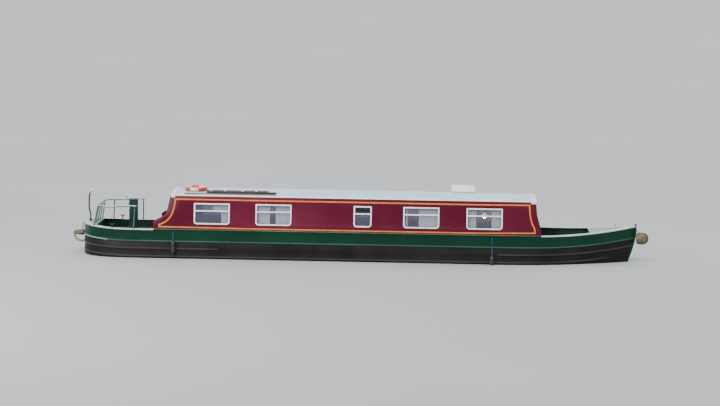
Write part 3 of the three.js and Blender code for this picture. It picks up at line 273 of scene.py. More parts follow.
floor_finish = paint("floor_finish", (176, 177, 176), (170, 171, 171), rough=(0.7, 0.85), patch=0.05,
                     streak=(1, 1, 1), ripple=3, deep=0.001)
floor.data.materials.append(floor_finish)
print("floor finish has", len(floor_finish.node_tree.nodes), "nodes")

# %% [markdown]
# The boat's own colours, read from the picture: a maroon cabin, a dark green band under the gunwale, bitumen
# black below it, a pale blue-grey roof that doesn't shine, white for frames and trims, and a gold line.
# Each is made once here and given to its pieces later.

# %% Mix the boat's paints
maroon = paint("cabin_maroon_enamel", (96, 22, 46), (83, 13, 36), rough=(0.2, 0.34), patch=0.5, shine=0.15)
green = paint("band_green_enamel", (0, 54, 34), (2, 44, 29), rough=(0.22, 0.38), patch=0.7, shine=0.2)
black = paint("bitumen_black", (15, 13, 14), (31, 26, 25), rough=(0.4, 0.6), patch=1.6,
              streak=(1, 1, 0.25), ripple=30, deep=0.0012, shine=0.22)
guard_green = paint("guard_green", (44, 84, 68), (32, 66, 54), rough=(0.35, 0.55), patch=2.2,
                    streak=(0.6, 1, 1), ripple=60)
guard_black = paint("guard_rubbed_black", (52, 50, 52), (36, 35, 36), rough=(0.4, 0.6), patch=2.2,
                    streak=(0.6, 1, 1), ripple=60)
guard_sheen = paint("guard_sheen_pale", (150, 170, 160), (110, 134, 124), rough=(0.4, 0.6), patch=1.4,
                   ripple=60)
gunwale_grey = paint("gunwale_grey_green", (104, 116, 106), (82, 96, 86), rough=(0.5, 0.7), patch=1.4,
                     ripple=200)
gunwale_highlight = paint("gunwale_highlight", (206, 212, 204), (176, 188, 178), rough=(0.5, 0.7), patch=1.4,
                     ripple=200)
roof_skin = paint("roof_blue_grey", (188, 215, 227), (174, 203, 216), rough=(0.6, 0.8), patch=1.4,
                  streak=(1, 0.5, 1), ripple=320, deep=0.0012)
white = paint("trim_white", (236, 230, 234), (222, 214, 218), rough=(0.3, 0.45), patch=3, ripple=70)
gold = paint("coach_line_gold", (222, 132, 52), (204, 114, 42), rough=(0.3, 0.42), patch=5, shine=0.3)
deck_paint = paint("deck_pale_green", (150, 165, 155), (126, 142, 134), rough=(0.6, 0.8), patch=2.5,
                   ripple=300, deep=0.001)
# The posts' own paint is the rail's dark green; this lighter green on them is painted light, so they look lit
# by the sky.
lit_post_green = paint("post_lit_green", (76, 112, 98), (58, 92, 80), rough=(0.35, 0.55), patch=3, shine=0.3)
column_green = paint("column_faded_green", (30, 62, 58), (22, 50, 46), rough=(0.35, 0.55), patch=2, shine=0.3)
dark_green = paint("lining_dark_green", (8, 52, 38), (5, 40, 30), rough=(0.3, 0.5), patch=2, shine=0.3)
pale_green = paint("rail_pale_green", (176, 194, 184), (150, 172, 162), rough=(0.25, 0.4), patch=8)
dark_steel = paint("worn_black_steel", (40, 40, 42), (66, 62, 58), rough=(0.4, 0.6), patch=9, ripple=120,
                   metal=0.3)
print("paints mixed:", len([m for m in bpy.data.materials if m.use_nodes]))

# %% [markdown]
# ## Fenders on their lanyards
#
# Two black fenders hang over the near side, each on a blue cord from an eye under the gunwale. A cord is a
# fixed length of something limp: it leaves the eye straight down, runs through the bore of its fender and
# ends below it in a stopper knot, which carries the fender. A curve that follows listed points gives
# that line, and a round bevel gives it thickness. The cord's braid is laid on afterwards by its material.
# The points are those of the solids, so that the cord lies where they are.

# %% Braided cord finish
def braid(name, light, dark, strands, pitch, deep=0.0006, rough=0.75):
    """Strands wound round a cord: a slanting stripe pattern in the cord's own length and turn"""
    material, tree, shader = new_finish(name)
    along = added(tree, "UVMap")
    along.uv_map = "along"
    turn = added(tree, "Mapping", Vector=along.outputs["UV"], Scale=(strands, 1 / pitch, 1))
    filled(turn, Rotation=(0, 0, math.atan2(pitch, 1.0)))
    wave = added(tree, "TexWave", Vector=turn.outputs["Vector"], Scale=1.0, Distortion=0.6, Detail=2)
    wave.wave_type = "BANDS"
    wave.bands_direction = "DIAGONAL"
    soiled = mixed(tree, ranged(tree, noise_on(tree, 14, 4), 0, 0.7), linear(*light), linear(*dark))
    tone = mixed(tree, ranged(tree, wave.outputs["Fac"], 0, 1, 0.0, 0.5), linear(*dark), soiled)
    filled(shader, Base_Color=tone, Roughness=rough)
    raised(tree, wave.outputs["Fac"], deep, 0.9)
    return material


blue_cord = braid("blue_braided_cord", (86, 112, 158), (42, 58, 96), 4, 0.012)
print("cord finish:", blue_cord.name)

# %% Lay a tube along points
def linked(name, data):
    """A new object with that data, selected"""
    piece = bpy.data.objects.new(name, data)
    bpy.context.collection.objects.link(piece)
    return take(piece)


def tube(name, points, radius, finish, sides=10, closed=False):
    """A round tube along a smooth line through the points, with its length and turn kept as a UV map"""
    line = bpy.data.curves.new(name, "CURVE")
    line.dimensions = "3D"
    spline = line.splines.new("POLY")
    spline.points.add(len(points) - 1)
    for point, place in zip(spline.points, points):
        point.co = (*place, 1)
    spline.use_cyclic_u = closed
    line.bevel_depth = radius
    line.bevel_resolution = max(1, sides // 4)
    line.use_fill_caps = not closed
    piece = linked(name, line)
    bpy.ops.object.convert(target="MESH")
    if piece.data.uv_layers:
        piece.data.uv_layers[0].name = "along"
    bpy.ops.object.shade_smooth()
    piece.data.materials.clear()
    piece.data.materials.append(finish)
    return piece


def smoothed(points, steps):
    """More points on a smooth curve through the given ones"""
    rows = [Vector(p) for p in points]
    rows = [rows[0] * 2 - rows[1], *rows, rows[-1] * 2 - rows[-2]]
    line = []
    for a, b, c, d in zip(rows, rows[1:], rows[2:], rows[3:]):
        for i in range(steps):
            t = i / steps
            bent = (2 * a - 5 * b + 4 * c - d) * t ** 2 + (3 * b - a - 3 * c + d) * t ** 3
            line.append(0.5 * (2 * b + (c - a) * t + bent))
    return [tuple(p) for p in line] + [tuple(rows[-2])]


CORD_RADIUS = 0.006
SHORT_CORD = [
    (-1.062, 1.2225), (-1.0645, 1.2069), (-1.0675, 1.1913), (-1.0708, 1.1757),
    (-1.0744, 1.1601), (-1.0783, 1.1445), (-1.0823, 1.1289), (-1.0864, 1.1133),
    (-1.0906, 1.0977), (-1.0947, 1.0821), (-1.0987, 1.0665), (-1.1026, 1.0509),
    (-1.1062, 1.0354), (-1.1095, 1.0198), (-1.1125, 1.0042), (-1.115, 0.9886),
]
LONG_CORD = [
    (-1.062, 1.2225), (-1.064, 1.1979), (-1.0662, 1.1733), (-1.0687, 1.1488),
    (-1.0714, 1.1242), (-1.0742, 1.0996), (-1.0773, 1.075), (-1.0804, 1.0505),
    (-1.0836, 1.0259), (-1.0869, 1.0013), (-1.0901, 0.9767), (-1.0934, 0.9522),
    (-1.0966, 0.9276), (-1.0997, 0.903), (-1.1028, 0.8784), (-1.1056, 0.8539),
    (-1.1083, 0.8293), (-1.1108, 0.8047), (-1.113, 0.7801), (-1.115, 0.7556),
]
HANGING = [("1", -4.745, SHORT_CORD), ("2", 3.412, LONG_CORD)]
BORE_DROPS = (0.06, 0.12, 0.18, 0.24, 0.3, 0.36)


def length_of(points):
    """Length of a line along its points"""
    return sum(math.dist(a, b) for a, b in zip(points, points[1:]))


lanyards = {}
for number, x, route in HANGING:
    points = [(x, y, z) for y, z in route]
    y, top = route[-1]
    points += [(x, y, top - drop) for drop in BORE_DROPS]
    lanyard = tube(f"fender_cord_{number}", points, CORD_RADIUS, blue_cord)
    lanyards[number] = (lanyard, points)
    print(lanyard.name, "is", round(length_of(points), 3), "m long")

# %% [markdown]
# A moulded fender is a lathe-turned form: a ribbed cylinder with a rounded foot and a neck with an eye for
# its cord. It is made the way a lathe makes it: half a profile, drawn as a line of points, is spun round its
# upright middle. Blender's spin operator does that and leaves one seam, which is merged. The ribs are part
# of the profile.

# %% Spin the side fenders
def turned(name, profile, centre, axis=(0, 0, 1), steps=40):
    """Spins a profile of (radius, height) pairs once round an axis through the centre"""
    mesh = bpy.data.meshes.new(name)
    points = [(centre[0] + r, centre[1], centre[2] + h) for r, h in profile]
    mesh.from_pydata(points, [(i, i + 1) for i in range(len(points) - 1)], [])
    piece = linked(name, mesh)
    bpy.ops.object.mode_set(mode="EDIT")
    bpy.ops.mesh.select_all(action="SELECT")
    bpy.ops.mesh.spin(steps=steps, angle=math.tau, center=centre, axis=(0, 0, 1))
    bpy.ops.mesh.select_all(action="SELECT")
    bpy.ops.mesh.remove_doubles(threshold=0.00005)
    bpy.ops.mesh.normals_make_consistent(inside=False)
    bpy.ops.object.mode_set(mode="OBJECT")
    if axis != (0, 0, 1):
        around = Vector((0, 0, 1)).rotation_difference(Vector(axis)).to_matrix().to_4x4()
        mesh.transform(Matrix.Translation(centre) @ around @ Matrix.Translation([-c for c in centre]))
    bpy.ops.object.shade_smooth_by_angle(angle=math.radians(40))
    return piece


def finished(piece, finish, body, slot, *nodes):
    """Gives a piece its finish and its body, and hides the solids that it stands for; the slot is not used"""
    if finish is not None:
        piece.data.materials.clear()
        piece.data.materials.append(finish)
    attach(piece, body)
    if nodes:
        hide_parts(*nodes)
    return piece


KNOT = [
    (0.0, -0.012), (0.008, -0.011), (0.014, -0.004), (0.0145, 0.002), (0.0125, 0.006), (0.0142, 0.01),
    (0.0125, 0.015), (0.007, 0.018), (0.0, 0.018),
]
BORE_RADIUS = 0.009
RIBS = 11
RIBS_FROM = 0.06
RIBS_SHORT_OF = 0.14
fender_black = paint("moulded_black", (26, 26, 28), (44, 43, 42), rough=(0.35, 0.6), patch=12, ripple=140)
for number, (lanyard, points) in lanyards.items():
    low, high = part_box(f"side_fender_{number}")
    wide = (high[0] - low[0]) / 2
    tall = high[2] - low[2]
    middle = ((low[0] + high[0]) / 2, (low[1] + high[1]) / 2, low[2])
    groove = wide * 0.965
    side = [(BORE_RADIUS, 0.012), (0.012, 0.001), (wide * 0.55, 0.006), (wide * 0.86, 0.026)]
    side += [(wide * 0.97, 0.05)]
    step = (tall - RIBS_SHORT_OF) / RIBS
    for i in range(RIBS):
        h = RIBS_FROM + step * i
        side += [(groove, h), (wide, h + step * 0.25), (wide, h + step * 0.6), (groove, h + step * 0.85)]
    side += [(wide * 0.93, tall - 0.07), (wide * 0.72, tall - 0.045), (wide * 0.42, tall - 0.028)]
    side += [(wide * 0.3, tall - 0.022), (wide * 0.28, tall - 0.006), (wide * 0.22, tall - 0.001)]
    side += [(BORE_RADIUS, tall - 0.004), side[0]]
    fender = turned(f"fender_{number}", side, middle)
    finished(fender, fender_black, "hull", "fender_rubber", f"side_fender_{number}")
    end = points[-1]
    knot = turned(f"stopper_knot_{number}", KNOT, (end[0], end[1], end[2] - 0.002))
    finished(knot, blue_cord, "hull", "lanyard_blue")
    finished(lanyard, None, "hull", "lanyard_blue", f"fender_lanyard_{number}")
    print(fender.name, "is", round(tall, 3), "m tall and", round(2 * wide, 3), "m thick")

# %% [markdown]
# ## Steelwork
#
# Real plates have rolled or ground edges, and an edge that catches light is what makes steel look solid. The
# solids have knife edges and loose triangles. One helper takes a copy of a solid's mesh, merges it, clears
# the flat triangles, runs a narrow bevel along each sharp edge and smooths what is left. A second helper
# gives faces another finish by their place and direction, so that a plate can have a worn edge or a painted
# top and stay one piece. Where the paint changes in the middle of a long face, a third cuts that face first.

# %% Helpers for steelwork
def dressed(node, name, finish, body, slot, edge=0.002, rounds=2, sharp=35):
    """A merged copy of a solid with softened edges, which stands for that solid"""
    piece = linked(name, frame["nodes"][node].data.copy())
    if piece.data.has_custom_normals:
        bpy.ops.mesh.customdata_custom_splitnormals_clear()
    bpy.ops.object.mode_set(mode="EDIT")
    bpy.ops.mesh.select_all(action="SELECT")
    bpy.ops.mesh.remove_doubles(threshold=0.00002)
    bpy.ops.mesh.dissolve_limited(angle_limit=math.radians(0.3))
    bpy.ops.object.mode_set(mode="OBJECT")
    softened(piece, edge, rounds)
    bpy.ops.object.shade_smooth_by_angle(angle=math.radians(sharp))
    return finished(piece, finish, body, slot, node)


def softened(piece, edge, rounds=2, angle=30):
    """Bevels the sharp edges of a piece by that width"""
    take(piece)
    bevel = piece.modifiers.new("edges", "BEVEL")
    bevel.width = edge
    bevel.segments = rounds
    bevel.limit_method = "ANGLE"
    bevel.angle_limit = math.radians(angle)
    bpy.ops.object.modifier_apply(modifier=bevel.name)


def choose(piece, kind, test):
    """Opens edit mode with only those corners or faces selected for which the test holds"""
    take(piece)
    bpy.ops.object.mode_set(mode="EDIT")
    bpy.ops.mesh.select_mode(type=kind)
    bpy.ops.mesh.select_all(action="DESELECT")
    bpy.ops.object.mode_set(mode="OBJECT")
    mesh = piece.data
    if kind == "VERT":
        for corner in mesh.vertices:
            corner.select = test(corner.co)
    else:
        for face in mesh.polygons:
            face.select = test(face.center, face.normal)
    bpy.ops.object.mode_set(mode="EDIT")


def sliced(piece, place, facing, test=lambda c, n: True):
    """Cuts the chosen faces along a plane, so that the paint can change there"""
    choose(piece, "FACE", test)
    bpy.ops.mesh.bisect(plane_co=place, plane_no=facing)
    bpy.ops.object.mode_set(mode="OBJECT")


def repaint(piece, finish, chosen):
    """Gives the finish to the faces for which chosen(centre, normal) holds"""
    piece.data.materials.append(finish)
    index = len(piece.data.materials) - 1
    count = 0
    for face in piece.data.polygons:
        if chosen(face.center, face.normal):
            face.material_index = index
            count += 1
    print(piece.name, "has", count, "faces in", finish.name)


# %% [markdown]
# The hull is black below and green above. The bitumen on the sides is rubbed brown and grey along the two
# guards, which are the half-round bars that meet lock walls. The pale line under the gunwale and the line
# at the foot of the green band are the edges of such bars too, painted lighter than the band. At both ends
# the gunwale's top and lip are painted near white, and aft of the stern's curve so is the band's foot line:
# a painted highlight of the sky on the rising, curving ends.

# %% Find the gunwale and the guards
GUNWALE_HIGH = 1.25
STERN_RISE, STERN_RISES_FROM, STERN_CURVE_LONG = 0.07, -5.865, 1.3
BOW_RISE, BOW_RISES_FROM, BOW_CURVE_LONG = 0.19, 4.675, 2.49
GUARD_HALF_TALL = 0.0175
BAND_FOOT_DOWN, UPPER_GUARD_DOWN, LOWER_GUARD_DOWN = 0.301, 0.49, 0.69
UPPER_GUARD_BREAK = (-3.6, 3.56)
SHEEN_AFT_OF = -6.5
GUNWALE_THICK = 0.029
CABIN_LOW, CABIN_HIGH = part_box("cabin_side_port")
CABIN_FOOT = (CABIN_LOW[0] + 0.02, CABIN_HIGH[0] - 0.01)


def gunwale_at(x):
    """Height of the gunwale there: level amidships, rising to both ends"""
    aft = max(0.0, (STERN_RISES_FROM - x) / STERN_CURVE_LONG)
    fore = max(0.0, (x - BOW_RISES_FROM) / BOW_CURVE_LONG)
    return GUNWALE_HIGH + STERN_RISE * aft ** 2 + BOW_RISE * fore ** 2


def on_guard(c, n, down):
    """Whether that place lies on the face of a guard so far under the gunwale"""
    return abs(c.z - (gunwale_at(c.x) - down)) < GUARD_HALF_TALL and abs(n.z) < 0.75


def beside_cabin(x):
    """Whether the gunwale there is a side deck beside the cabin"""
    return CABIN_FOOT[0] < x < CABIN_FOOT[1]


def at_break(x):
    """Whether the upper guard is left out there"""
    return UPPER_GUARD_BREAK[0] < x < UPPER_GUARD_BREAK[1]


print("gunwale at the stem", round(gunwale_at(7.165), 3), "m high")

# %% Dress the hull
for side in ("starboard", "port"):
    hull = dressed(f"hull_side_{side}", f"hull_plating_{side}", black, "hull", "hull_black", 0.003)
    strake = dressed(f"top_strake_{side}", f"green_band_{side}", green, "hull", "band_green", 0.003)
    for end in CABIN_FOOT:
        sliced(strake, (end, 0, 0), (1, 0, 0))
    repaint(hull, guard_black, lambda c, n: on_guard(c, n, LOWER_GUARD_DOWN))
    repaint(hull, guard_black, lambda c, n: on_guard(c, n, UPPER_GUARD_DOWN) and not at_break(c.x))
    repaint(strake, guard_green, lambda c, n: on_guard(c, n, BAND_FOOT_DOWN))
    repaint(strake, gunwale_grey, lambda c, n: c.z > gunwale_at(c.x) - 0.0005 and beside_cabin(c.x))
    # At both ends the gunwale's top and lip are painted near white: a painted highlight where the rising ends
    # catch the sky.
    repaint(strake, gunwale_highlight,
            lambda c, n: c.z > gunwale_at(c.x) - GUNWALE_THICK and not beside_cabin(c.x))
    # Aft of the stern's curve the band's foot line is painted near white: a painted highlight of the sky's
    # sheen.
    repaint(strake, guard_sheen, lambda c, n: on_guard(c, n, BAND_FOOT_DOWN) and c.x < SHEEN_AFT_OF)
for node, name, finish in (
    ("base_plate", "bottom_plate", black),
    ("stem_post", "stem_bar", green),
    ("stern_post", "stern_frame", black),
    ("uxter_plate", "counter_plate", black),
):
    dressed(node, name, finish, "hull", "hull_black")

# %% [markdown]
# ## Cabin sides
#
# The cabin side is one sheet of steel that leans in by eight degrees, painted maroon. A gold line runs round
# it a hand's breadth inside the edge: straight along the top and bottom, and following the swept ends. The
# line could be a pattern in the paint, but its shape is a hand-drawn outline, so it is laid on as what a
# signwriter would call a stripe of thick enamel: the outline is a face, an inset as wide as the line leaves
# the stripe round it, and the middle is deleted.

# %% Place flat work on the leaning cabin side
SIDE_LEANS_IN, SIDE_TALL = 0.118, 0.845
SIDE_FOOT = (0, -0.928, 1.2503)
ON_SIDE = Matrix.Translation(SIDE_FOOT) @ Matrix.Rotation(-math.atan(SIDE_LEANS_IN / SIDE_TALL), 4, "X")


def mirror_of(piece, name):
    """A copy of a piece on the other side of the boat"""
    other = linked(name, piece.data.copy())
    other.data.transform(Matrix.Scale(-1, 4, (0, 1, 0)))
    other.data.flip_normals()
    return other


def flat_shape(name, outline, depth=0.0):
    """A face in the cabin side's own plane, from (along, up) pairs, that looks outwards"""
    mesh = bpy.data.meshes.new(name)
    mesh.from_pydata([(x, depth, h) for x, h in outline], [], [range(len(outline))])
    piece = linked(name, mesh)
    if mesh.polygons[0].normal.y > 0:
        mesh.flip_normals()
    return piece


def hollowed(piece, thickness):
    """Keeps only a ring of that width round a flat face"""
    take(piece)
    bpy.ops.object.mode_set(mode="EDIT")
    bpy.ops.mesh.select_all(action="SELECT")
    bpy.ops.mesh.inset(thickness=thickness, use_boundary=True, use_even_offset=True)
    bpy.ops.mesh.delete(type="FACE")
    bpy.ops.object.mode_set(mode="OBJECT")
    return piece


def thickened(piece, thickness, offset=1.0):
    """Gives a flat piece its thickness; offset 1 builds it outwards, -1 inwards"""
    take(piece)
    wall = piece.modifiers.new("wall", "SOLIDIFY")
    wall.thickness = thickness
    wall.offset = offset
    bpy.ops.object.modifier_apply(modifier=wall.name)


for side in ("starboard", "port"):
    dressed(f"cabin_side_{side}", f"cabin_steel_{side}", maroon, "hull", "cabin_maroon")
print("cabin side leans", round(math.degrees(math.atan(SIDE_LEANS_IN / SIDE_TALL)), 1), "degrees")

# %% Lay the gold line
LINE_WIDE = 0.036
LINE_THICK = 0.0012
LINE_SHAPE = [
    (-4.735, 0.783), (-4.744, 0.69), (-4.76, 0.597), (-4.78, 0.51), (-4.803, 0.436), (-4.833, 0.365),
    (-4.873, 0.298), (-4.925, 0.236), (-4.99, 0.186), (-5.06, 0.149), (-5.135, 0.122), (-5.146, 0.10),
    (-5.146, 0.034), (-3.0, 0.02), (3.0, 0.02), (4.512, 0.046), (4.516, 0.06), (4.512, 0.15), (4.498, 0.2),
    (4.474, 0.245), (4.449, 0.291), (4.425, 0.36), (4.404, 0.44), (4.389, 0.53), (4.378, 0.622), (4.372, 0.7),
    (4.370, 0.793), (3.0, 0.783),
]
stripe = hollowed(flat_shape("gold_line_starboard", LINE_SHAPE, -LINE_THICK / 2), LINE_WIDE)
thickened(stripe, LINE_THICK)
stripe.data.transform(ON_SIDE)
stripe_port = mirror_of(stripe, "gold_line_port")
for piece in (stripe, stripe_port):
    finished(piece, gold, "hull", "cabin_maroon")
print("gold line", LINE_WIDE, "m wide,", len(stripe.data.polygons), "faces a side")

# %% [markdown]
# ## Windows
#
# Each window is a white aluminium frame screwed to the outside of the cabin, nearly square at the top and
# well rounded at the bottom, as bus windows are. Inside it are a black rubber seal, a pane, and a rail across
# at two thirds of the height that carries the hopper above. The frame starts as a plane: its corners are
# rounded by a vertex bevel, an inset as wide as the frame is deleted, and what is left gets its thickness
# and a soft edge. The seal and the rail are made the same way, one size smaller.

# %% Glass and rubber
GLASS_HIDES, DARK_GLASS_HIDES = 0.4, 0.9
glass, tree, shader = new_finish("window_glass")
filled(shader, Base_Color=linear(108, 110, 134), Roughness=0.06, Alpha=GLASS_HIDES, IOR=1.5)
raised(tree, noise_on(tree, 2.5, 2), 0.0008, 0.25)
dark_glass = glass.copy()
dark_glass.name = "dark_hopper_glass"
dark_shader = dark_glass.node_tree.nodes["Principled BSDF"]
filled(dark_shader, Base_Color=linear(18, 19, 24), Alpha=DARK_GLASS_HIDES)
rubber = paint("window_rubber", (34, 34, 38), (50, 49, 52), rough=(0.5, 0.7), patch=8)
powder_white = paint("window_frame_white", (247, 243, 247), (236, 231, 236), rough=(0.28, 0.4), patch=6)
print("glass lets", 1 - GLASS_HIDES, "of the light through")

# %% Build a window frame
WINDOW_FOOT = 0.128
WINDOW_TALL = 0.546
FRAME_WIDE = 0.037
FRAME_THICK = 0.012
FRAME_CORNER = 0.085
FRAME_DEPTH = -0.0003
RAIL_UP, RAIL_TALL = 0.328, 0.036
RAIL_DEPTH, RAIL_THICK = 0.006, 0.014
SILL_TALL, SILL_DEPTH, SILL_THICK = 0.01, 0.008, 0.008
SEAL_WIDE, SEAL_DEPTH, SEAL_THICK = 0.014, 0.010, 0.010
SEAL_LAP, SEAL_CORNER, TOP_CORNER = 0.004, 0.055, 0.012
GLASS_DEPTH, GLASS_LAP, RAIL_LAP = 0.013, 0.003, 0.002


def at_corner(co, along, level):
    """Whether a point is one of a plate's two corners at that height"""
    return abs(co.z - level) < 1e-4 and min(abs(co.x - x) for x in along) < 1e-4


def plate(name, along, up, depth, bottom=0.0, top=0.0):
    """A flat face on the cabin side, with its two lower and its two upper corners rounded by those radii"""
    bpy.ops.object.select_all(action="DESELECT")
    middle = (sum(along) / 2, depth, sum(up) / 2)
    bpy.ops.mesh.primitive_plane_add(size=1, rotation=(math.pi / 2, 0, 0), location=middle)
    piece = bpy.context.object
    piece.scale = (along[1] - along[0], up[1] - up[0], 1)
    place_done(piece, name)
    for radius, level, rounds in ((bottom, up[0], 8), (top, up[1], 3)):
        if radius:
            choose(piece, "VERT", lambda co: at_corner(co, along, level))
            bpy.ops.mesh.bevel(affect="VERTICES", offset=radius, segments=rounds)
            bpy.ops.object.mode_set(mode="OBJECT")
    return piece


def joined(name, pieces):
    """One object from several"""
    bpy.ops.object.select_all(action="DESELECT")
    for piece in pieces:
        piece.select_set(True)
    bpy.context.view_layer.objects.active = pieces[0]
    bpy.ops.object.join()
    pieces[0].name = name
    return pieces[0]


def window(name, middle, wide, hopper_finish):
    """A frame with its seal and rail, and its two panes, on the starboard side"""
    half = wide / 2
    foot, top = WINDOW_FOOT, WINDOW_FOOT + WINDOW_TALL
    rail_foot = foot + RAIL_UP
    rail_top = rail_foot + RAIL_TALL

    def inside(lap):
        """The opening's two ends, with that much lap under the frame"""
        return middle - half + FRAME_WIDE - lap, middle + half - FRAME_WIDE + lap

    ring = plate(f"{name}_ring", (middle - half, middle + half), (foot, top), FRAME_DEPTH, FRAME_CORNER)
    thickened(hollowed(ring, FRAME_WIDE), FRAME_THICK)
    softened(ring, 0.004, 3)
    rail = plate(f"{name}_rail", inside(0), (rail_foot, rail_top), RAIL_DEPTH)
    thickened(rail, RAIL_THICK)
    softened(rail, 0.003, 2)
    sill = plate(f"{name}_sill", inside(0), (rail_foot - SILL_TALL, rail_foot), SILL_DEPTH)
    thickened(sill, SILL_THICK)
    seal_up = (foot + FRAME_WIDE - SEAL_LAP, top - FRAME_WIDE + SEAL_LAP)
    seal = plate(f"{name}_seal", inside(SEAL_LAP), seal_up, SEAL_DEPTH, SEAL_CORNER, TOP_CORNER)
    thickened(hollowed(seal, SEAL_WIDE), SEAL_THICK)
    for part, finish in ((ring, powder_white), (rail, powder_white), (sill, rubber), (seal, rubber)):
        part.data.materials.append(finish)
    whole = joined(name, [ring, rail, sill, seal])
    pane_up = (foot + FRAME_WIDE - GLASS_LAP, rail_foot)
    pane = plate(f"{name}_pane", inside(GLASS_LAP), pane_up, GLASS_DEPTH, SEAL_CORNER)
    pane.data.materials.append(glass)
    hopper_up = (rail_top - RAIL_LAP, top - FRAME_WIDE + GLASS_LAP)
    hopper = plate(f"{name}_hopper", inside(GLASS_LAP), hopper_up, GLASS_DEPTH, 0, TOP_CORNER)
    hopper.data.materials.append(hopper_finish)
    pane = joined(f"{name}_pane", [pane, hopper])
    for part in (whole, pane):
        part.data.transform(ON_SIDE)
        take(part)
        bpy.ops.object.shade_smooth_by_angle(angle=math.radians(35))
    return whole, pane


print("a window is", WINDOW_TALL, "m tall")

# %% Fit the ten windows
WINDOWS = [(-3.777, 0.922), (-2.192, 0.922), (0.093, 0.464), (1.593, 0.922), (3.210, 0.922)]
SMALL_WINDOW = 3
for number, (middle, wide) in enumerate(WINDOWS, 1):
    hopper_glass = dark_glass if number == SMALL_WINDOW else glass
    whole, pane = window(f"window_frame_{number}_starboard", middle, wide, hopper_glass)
    other = mirror_of(whole, f"window_frame_{number}_port")
    other_pane = mirror_of(pane, f"window_frame_{number}_port_pane")
    for side, piece, sheet in (("starboard", whole, pane), ("port", other, other_pane)):
        finished(piece, None, "hull", "frame_white", f"window_{number}_{side}")
        finished(sheet, None, "hull", "window_glass")
print("windows:", 2 * len(WINDOWS), "frame", FRAME_WIDE, "m wide")

# %% [markdown]
# ## Roof
#
# The roof is cambered steel, painted a pale blue-grey with sand in the paint so that it isn't slippery. Its
# edges and the raised trim at each end are white, and so are the grab rails, a hand's breadth in from the
# edge. All this is one welded piece, so it stays one piece here, and only the paint changes: faces are picked
# by where they are. Under the roof and inside the cabin sides the steel is hidden by pale boards.

# %% Wood finish
def worked(tree, operation, first, second=0.5):
    """The outcome of a sum on a value and a second one"""
    sums = tree.nodes.new("ShaderNodeMath")
    sums.operation = operation
    for socket, value in zip(sums.inputs, (first, second)):
        if isinstance(value, bpy.types.NodeSocket):
            tree.links.new(value, socket)
        else:
            socket.default_value = value
    return sums.outputs[0]


def boards(name, light, dark, along, across, wide, rough=(0.45, 0.65), grain=14, gap=0.02, deep=0.0015):
    """Boards of that width: a grain that runs along an axis, and a dark joint between boards"""
    material, tree, shader = new_finish(name)
    stretch = tuple(0.06 if axis == along else 1.0 for axis in "XYZ")
    fibres = noise_on(tree, grain * 6, 6, stretch)
    split = added(tree, "SeparateXYZ", Vector=added(tree, "TexCoord").outputs["Object"])
    steps = worked(tree, "DIVIDE", split.outputs[across], wide)
    tone = tree.nodes.new("ShaderNodeTexWhiteNoise")
    tone.noise_dimensions = "1D"
    filled(tone, W=worked(tree, "FLOOR", steps))
    middle = tuple((a + b) / 2 for a, b in zip(light, dark))
    board_tone = mixed(tree, tone.outputs["Value"], linear(*light), linear(*middle))
    wood = mixed(tree, ranged(tree, fibres, 0, 1, 0.4, 0.75), board_tone, linear(*dark))
    edge = worked(tree, "PINGPONG", worked(tree, "FRACT", steps), 0.5)
    joint = ranged(tree, edge, 1, 0, 0.0, gap)
    filled(shader, Base_Color=mixed(tree, joint, wood, linear(20, 16, 13)))
    filled(shader, Roughness=ranged(tree, fibres, *rough))
    raised(tree, ranged(tree, edge, 0, 1, 0.0, gap), deep, 0.8)
    return material


BOARD_WIDE = 0.11
PINE, PINE_GRAIN = (176, 140, 100), (128, 96, 64)
lining_wood = boards("cabin_lining_wood", PINE, PINE_GRAIN, "X", "Z", BOARD_WIDE)
cross_wood = boards("bulkhead_lining_wood", PINE, PINE_GRAIN, "Y", "Z", BOARD_WIDE)
ceiling = paint("ceiling_cream", (204, 196, 180), (190, 180, 164), rough=(0.4, 0.6), patch=2)
print("boards are", BOARD_WIDE, "m wide")

# %% Dress the roof
ROOF_FOOT = 2.0956
CAMBER = 0.05
ROOF_THICK = 0.026
HALF_ROOF = 0.796
TRIM_FROM = 0.792
TRIM_ENDS = (-4.728, 4.388)
GRAB_RAIL_AT, GRAB_RAIL_HALF = 0.78, 0.0135
VENTS = [(2.55, -0.05), (3.97, -0.49)]
VENT_REACH = 0.06


def camber_at(y):
    """Height of the roof's skin that far from the middle"""
    return ROOF_FOOT + ROOF_THICK + CAMBER * (1 - (y / HALF_ROOF) ** 2)


def on_grab_rail(c):
    """Whether that place is as far out as the grab rails are"""
    return abs(abs(c.y) - GRAB_RAIL_AT) < GRAB_RAIL_HALF


def near_vent(c):
    """Whether that place belongs to a vent's cap"""
    return any(math.hypot(c.x - x, c.y - y) < VENT_REACH for x, y in VENTS)


roof = dressed("roof", "cabin_roof", roof_skin, "hull", "roof_pale", 0.003)
repaint(roof, white, lambda c, n: abs(c.y) > TRIM_FROM or not TRIM_ENDS[0] < c.x < TRIM_ENDS[1])
repaint(roof, white, lambda c, n: on_grab_rail(c) and c.z > camber_at(c.y) - 0.002)
repaint(roof, white, lambda c, n: near_vent(c) and c.z > camber_at(c.y) + 0.001)
repaint(roof, ceiling, lambda c, n: n.z < -0.5 and abs(c.y) < TRIM_FROM - 0.002)

# %% Line the cabin
LINED = (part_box("aft_bulkhead")[1][0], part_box("fore_bulkhead")[0][0])


def in_cabin(c):
    """Whether that place lies between the two bulkheads"""
    return LINED[0] < c.x < LINED[1]


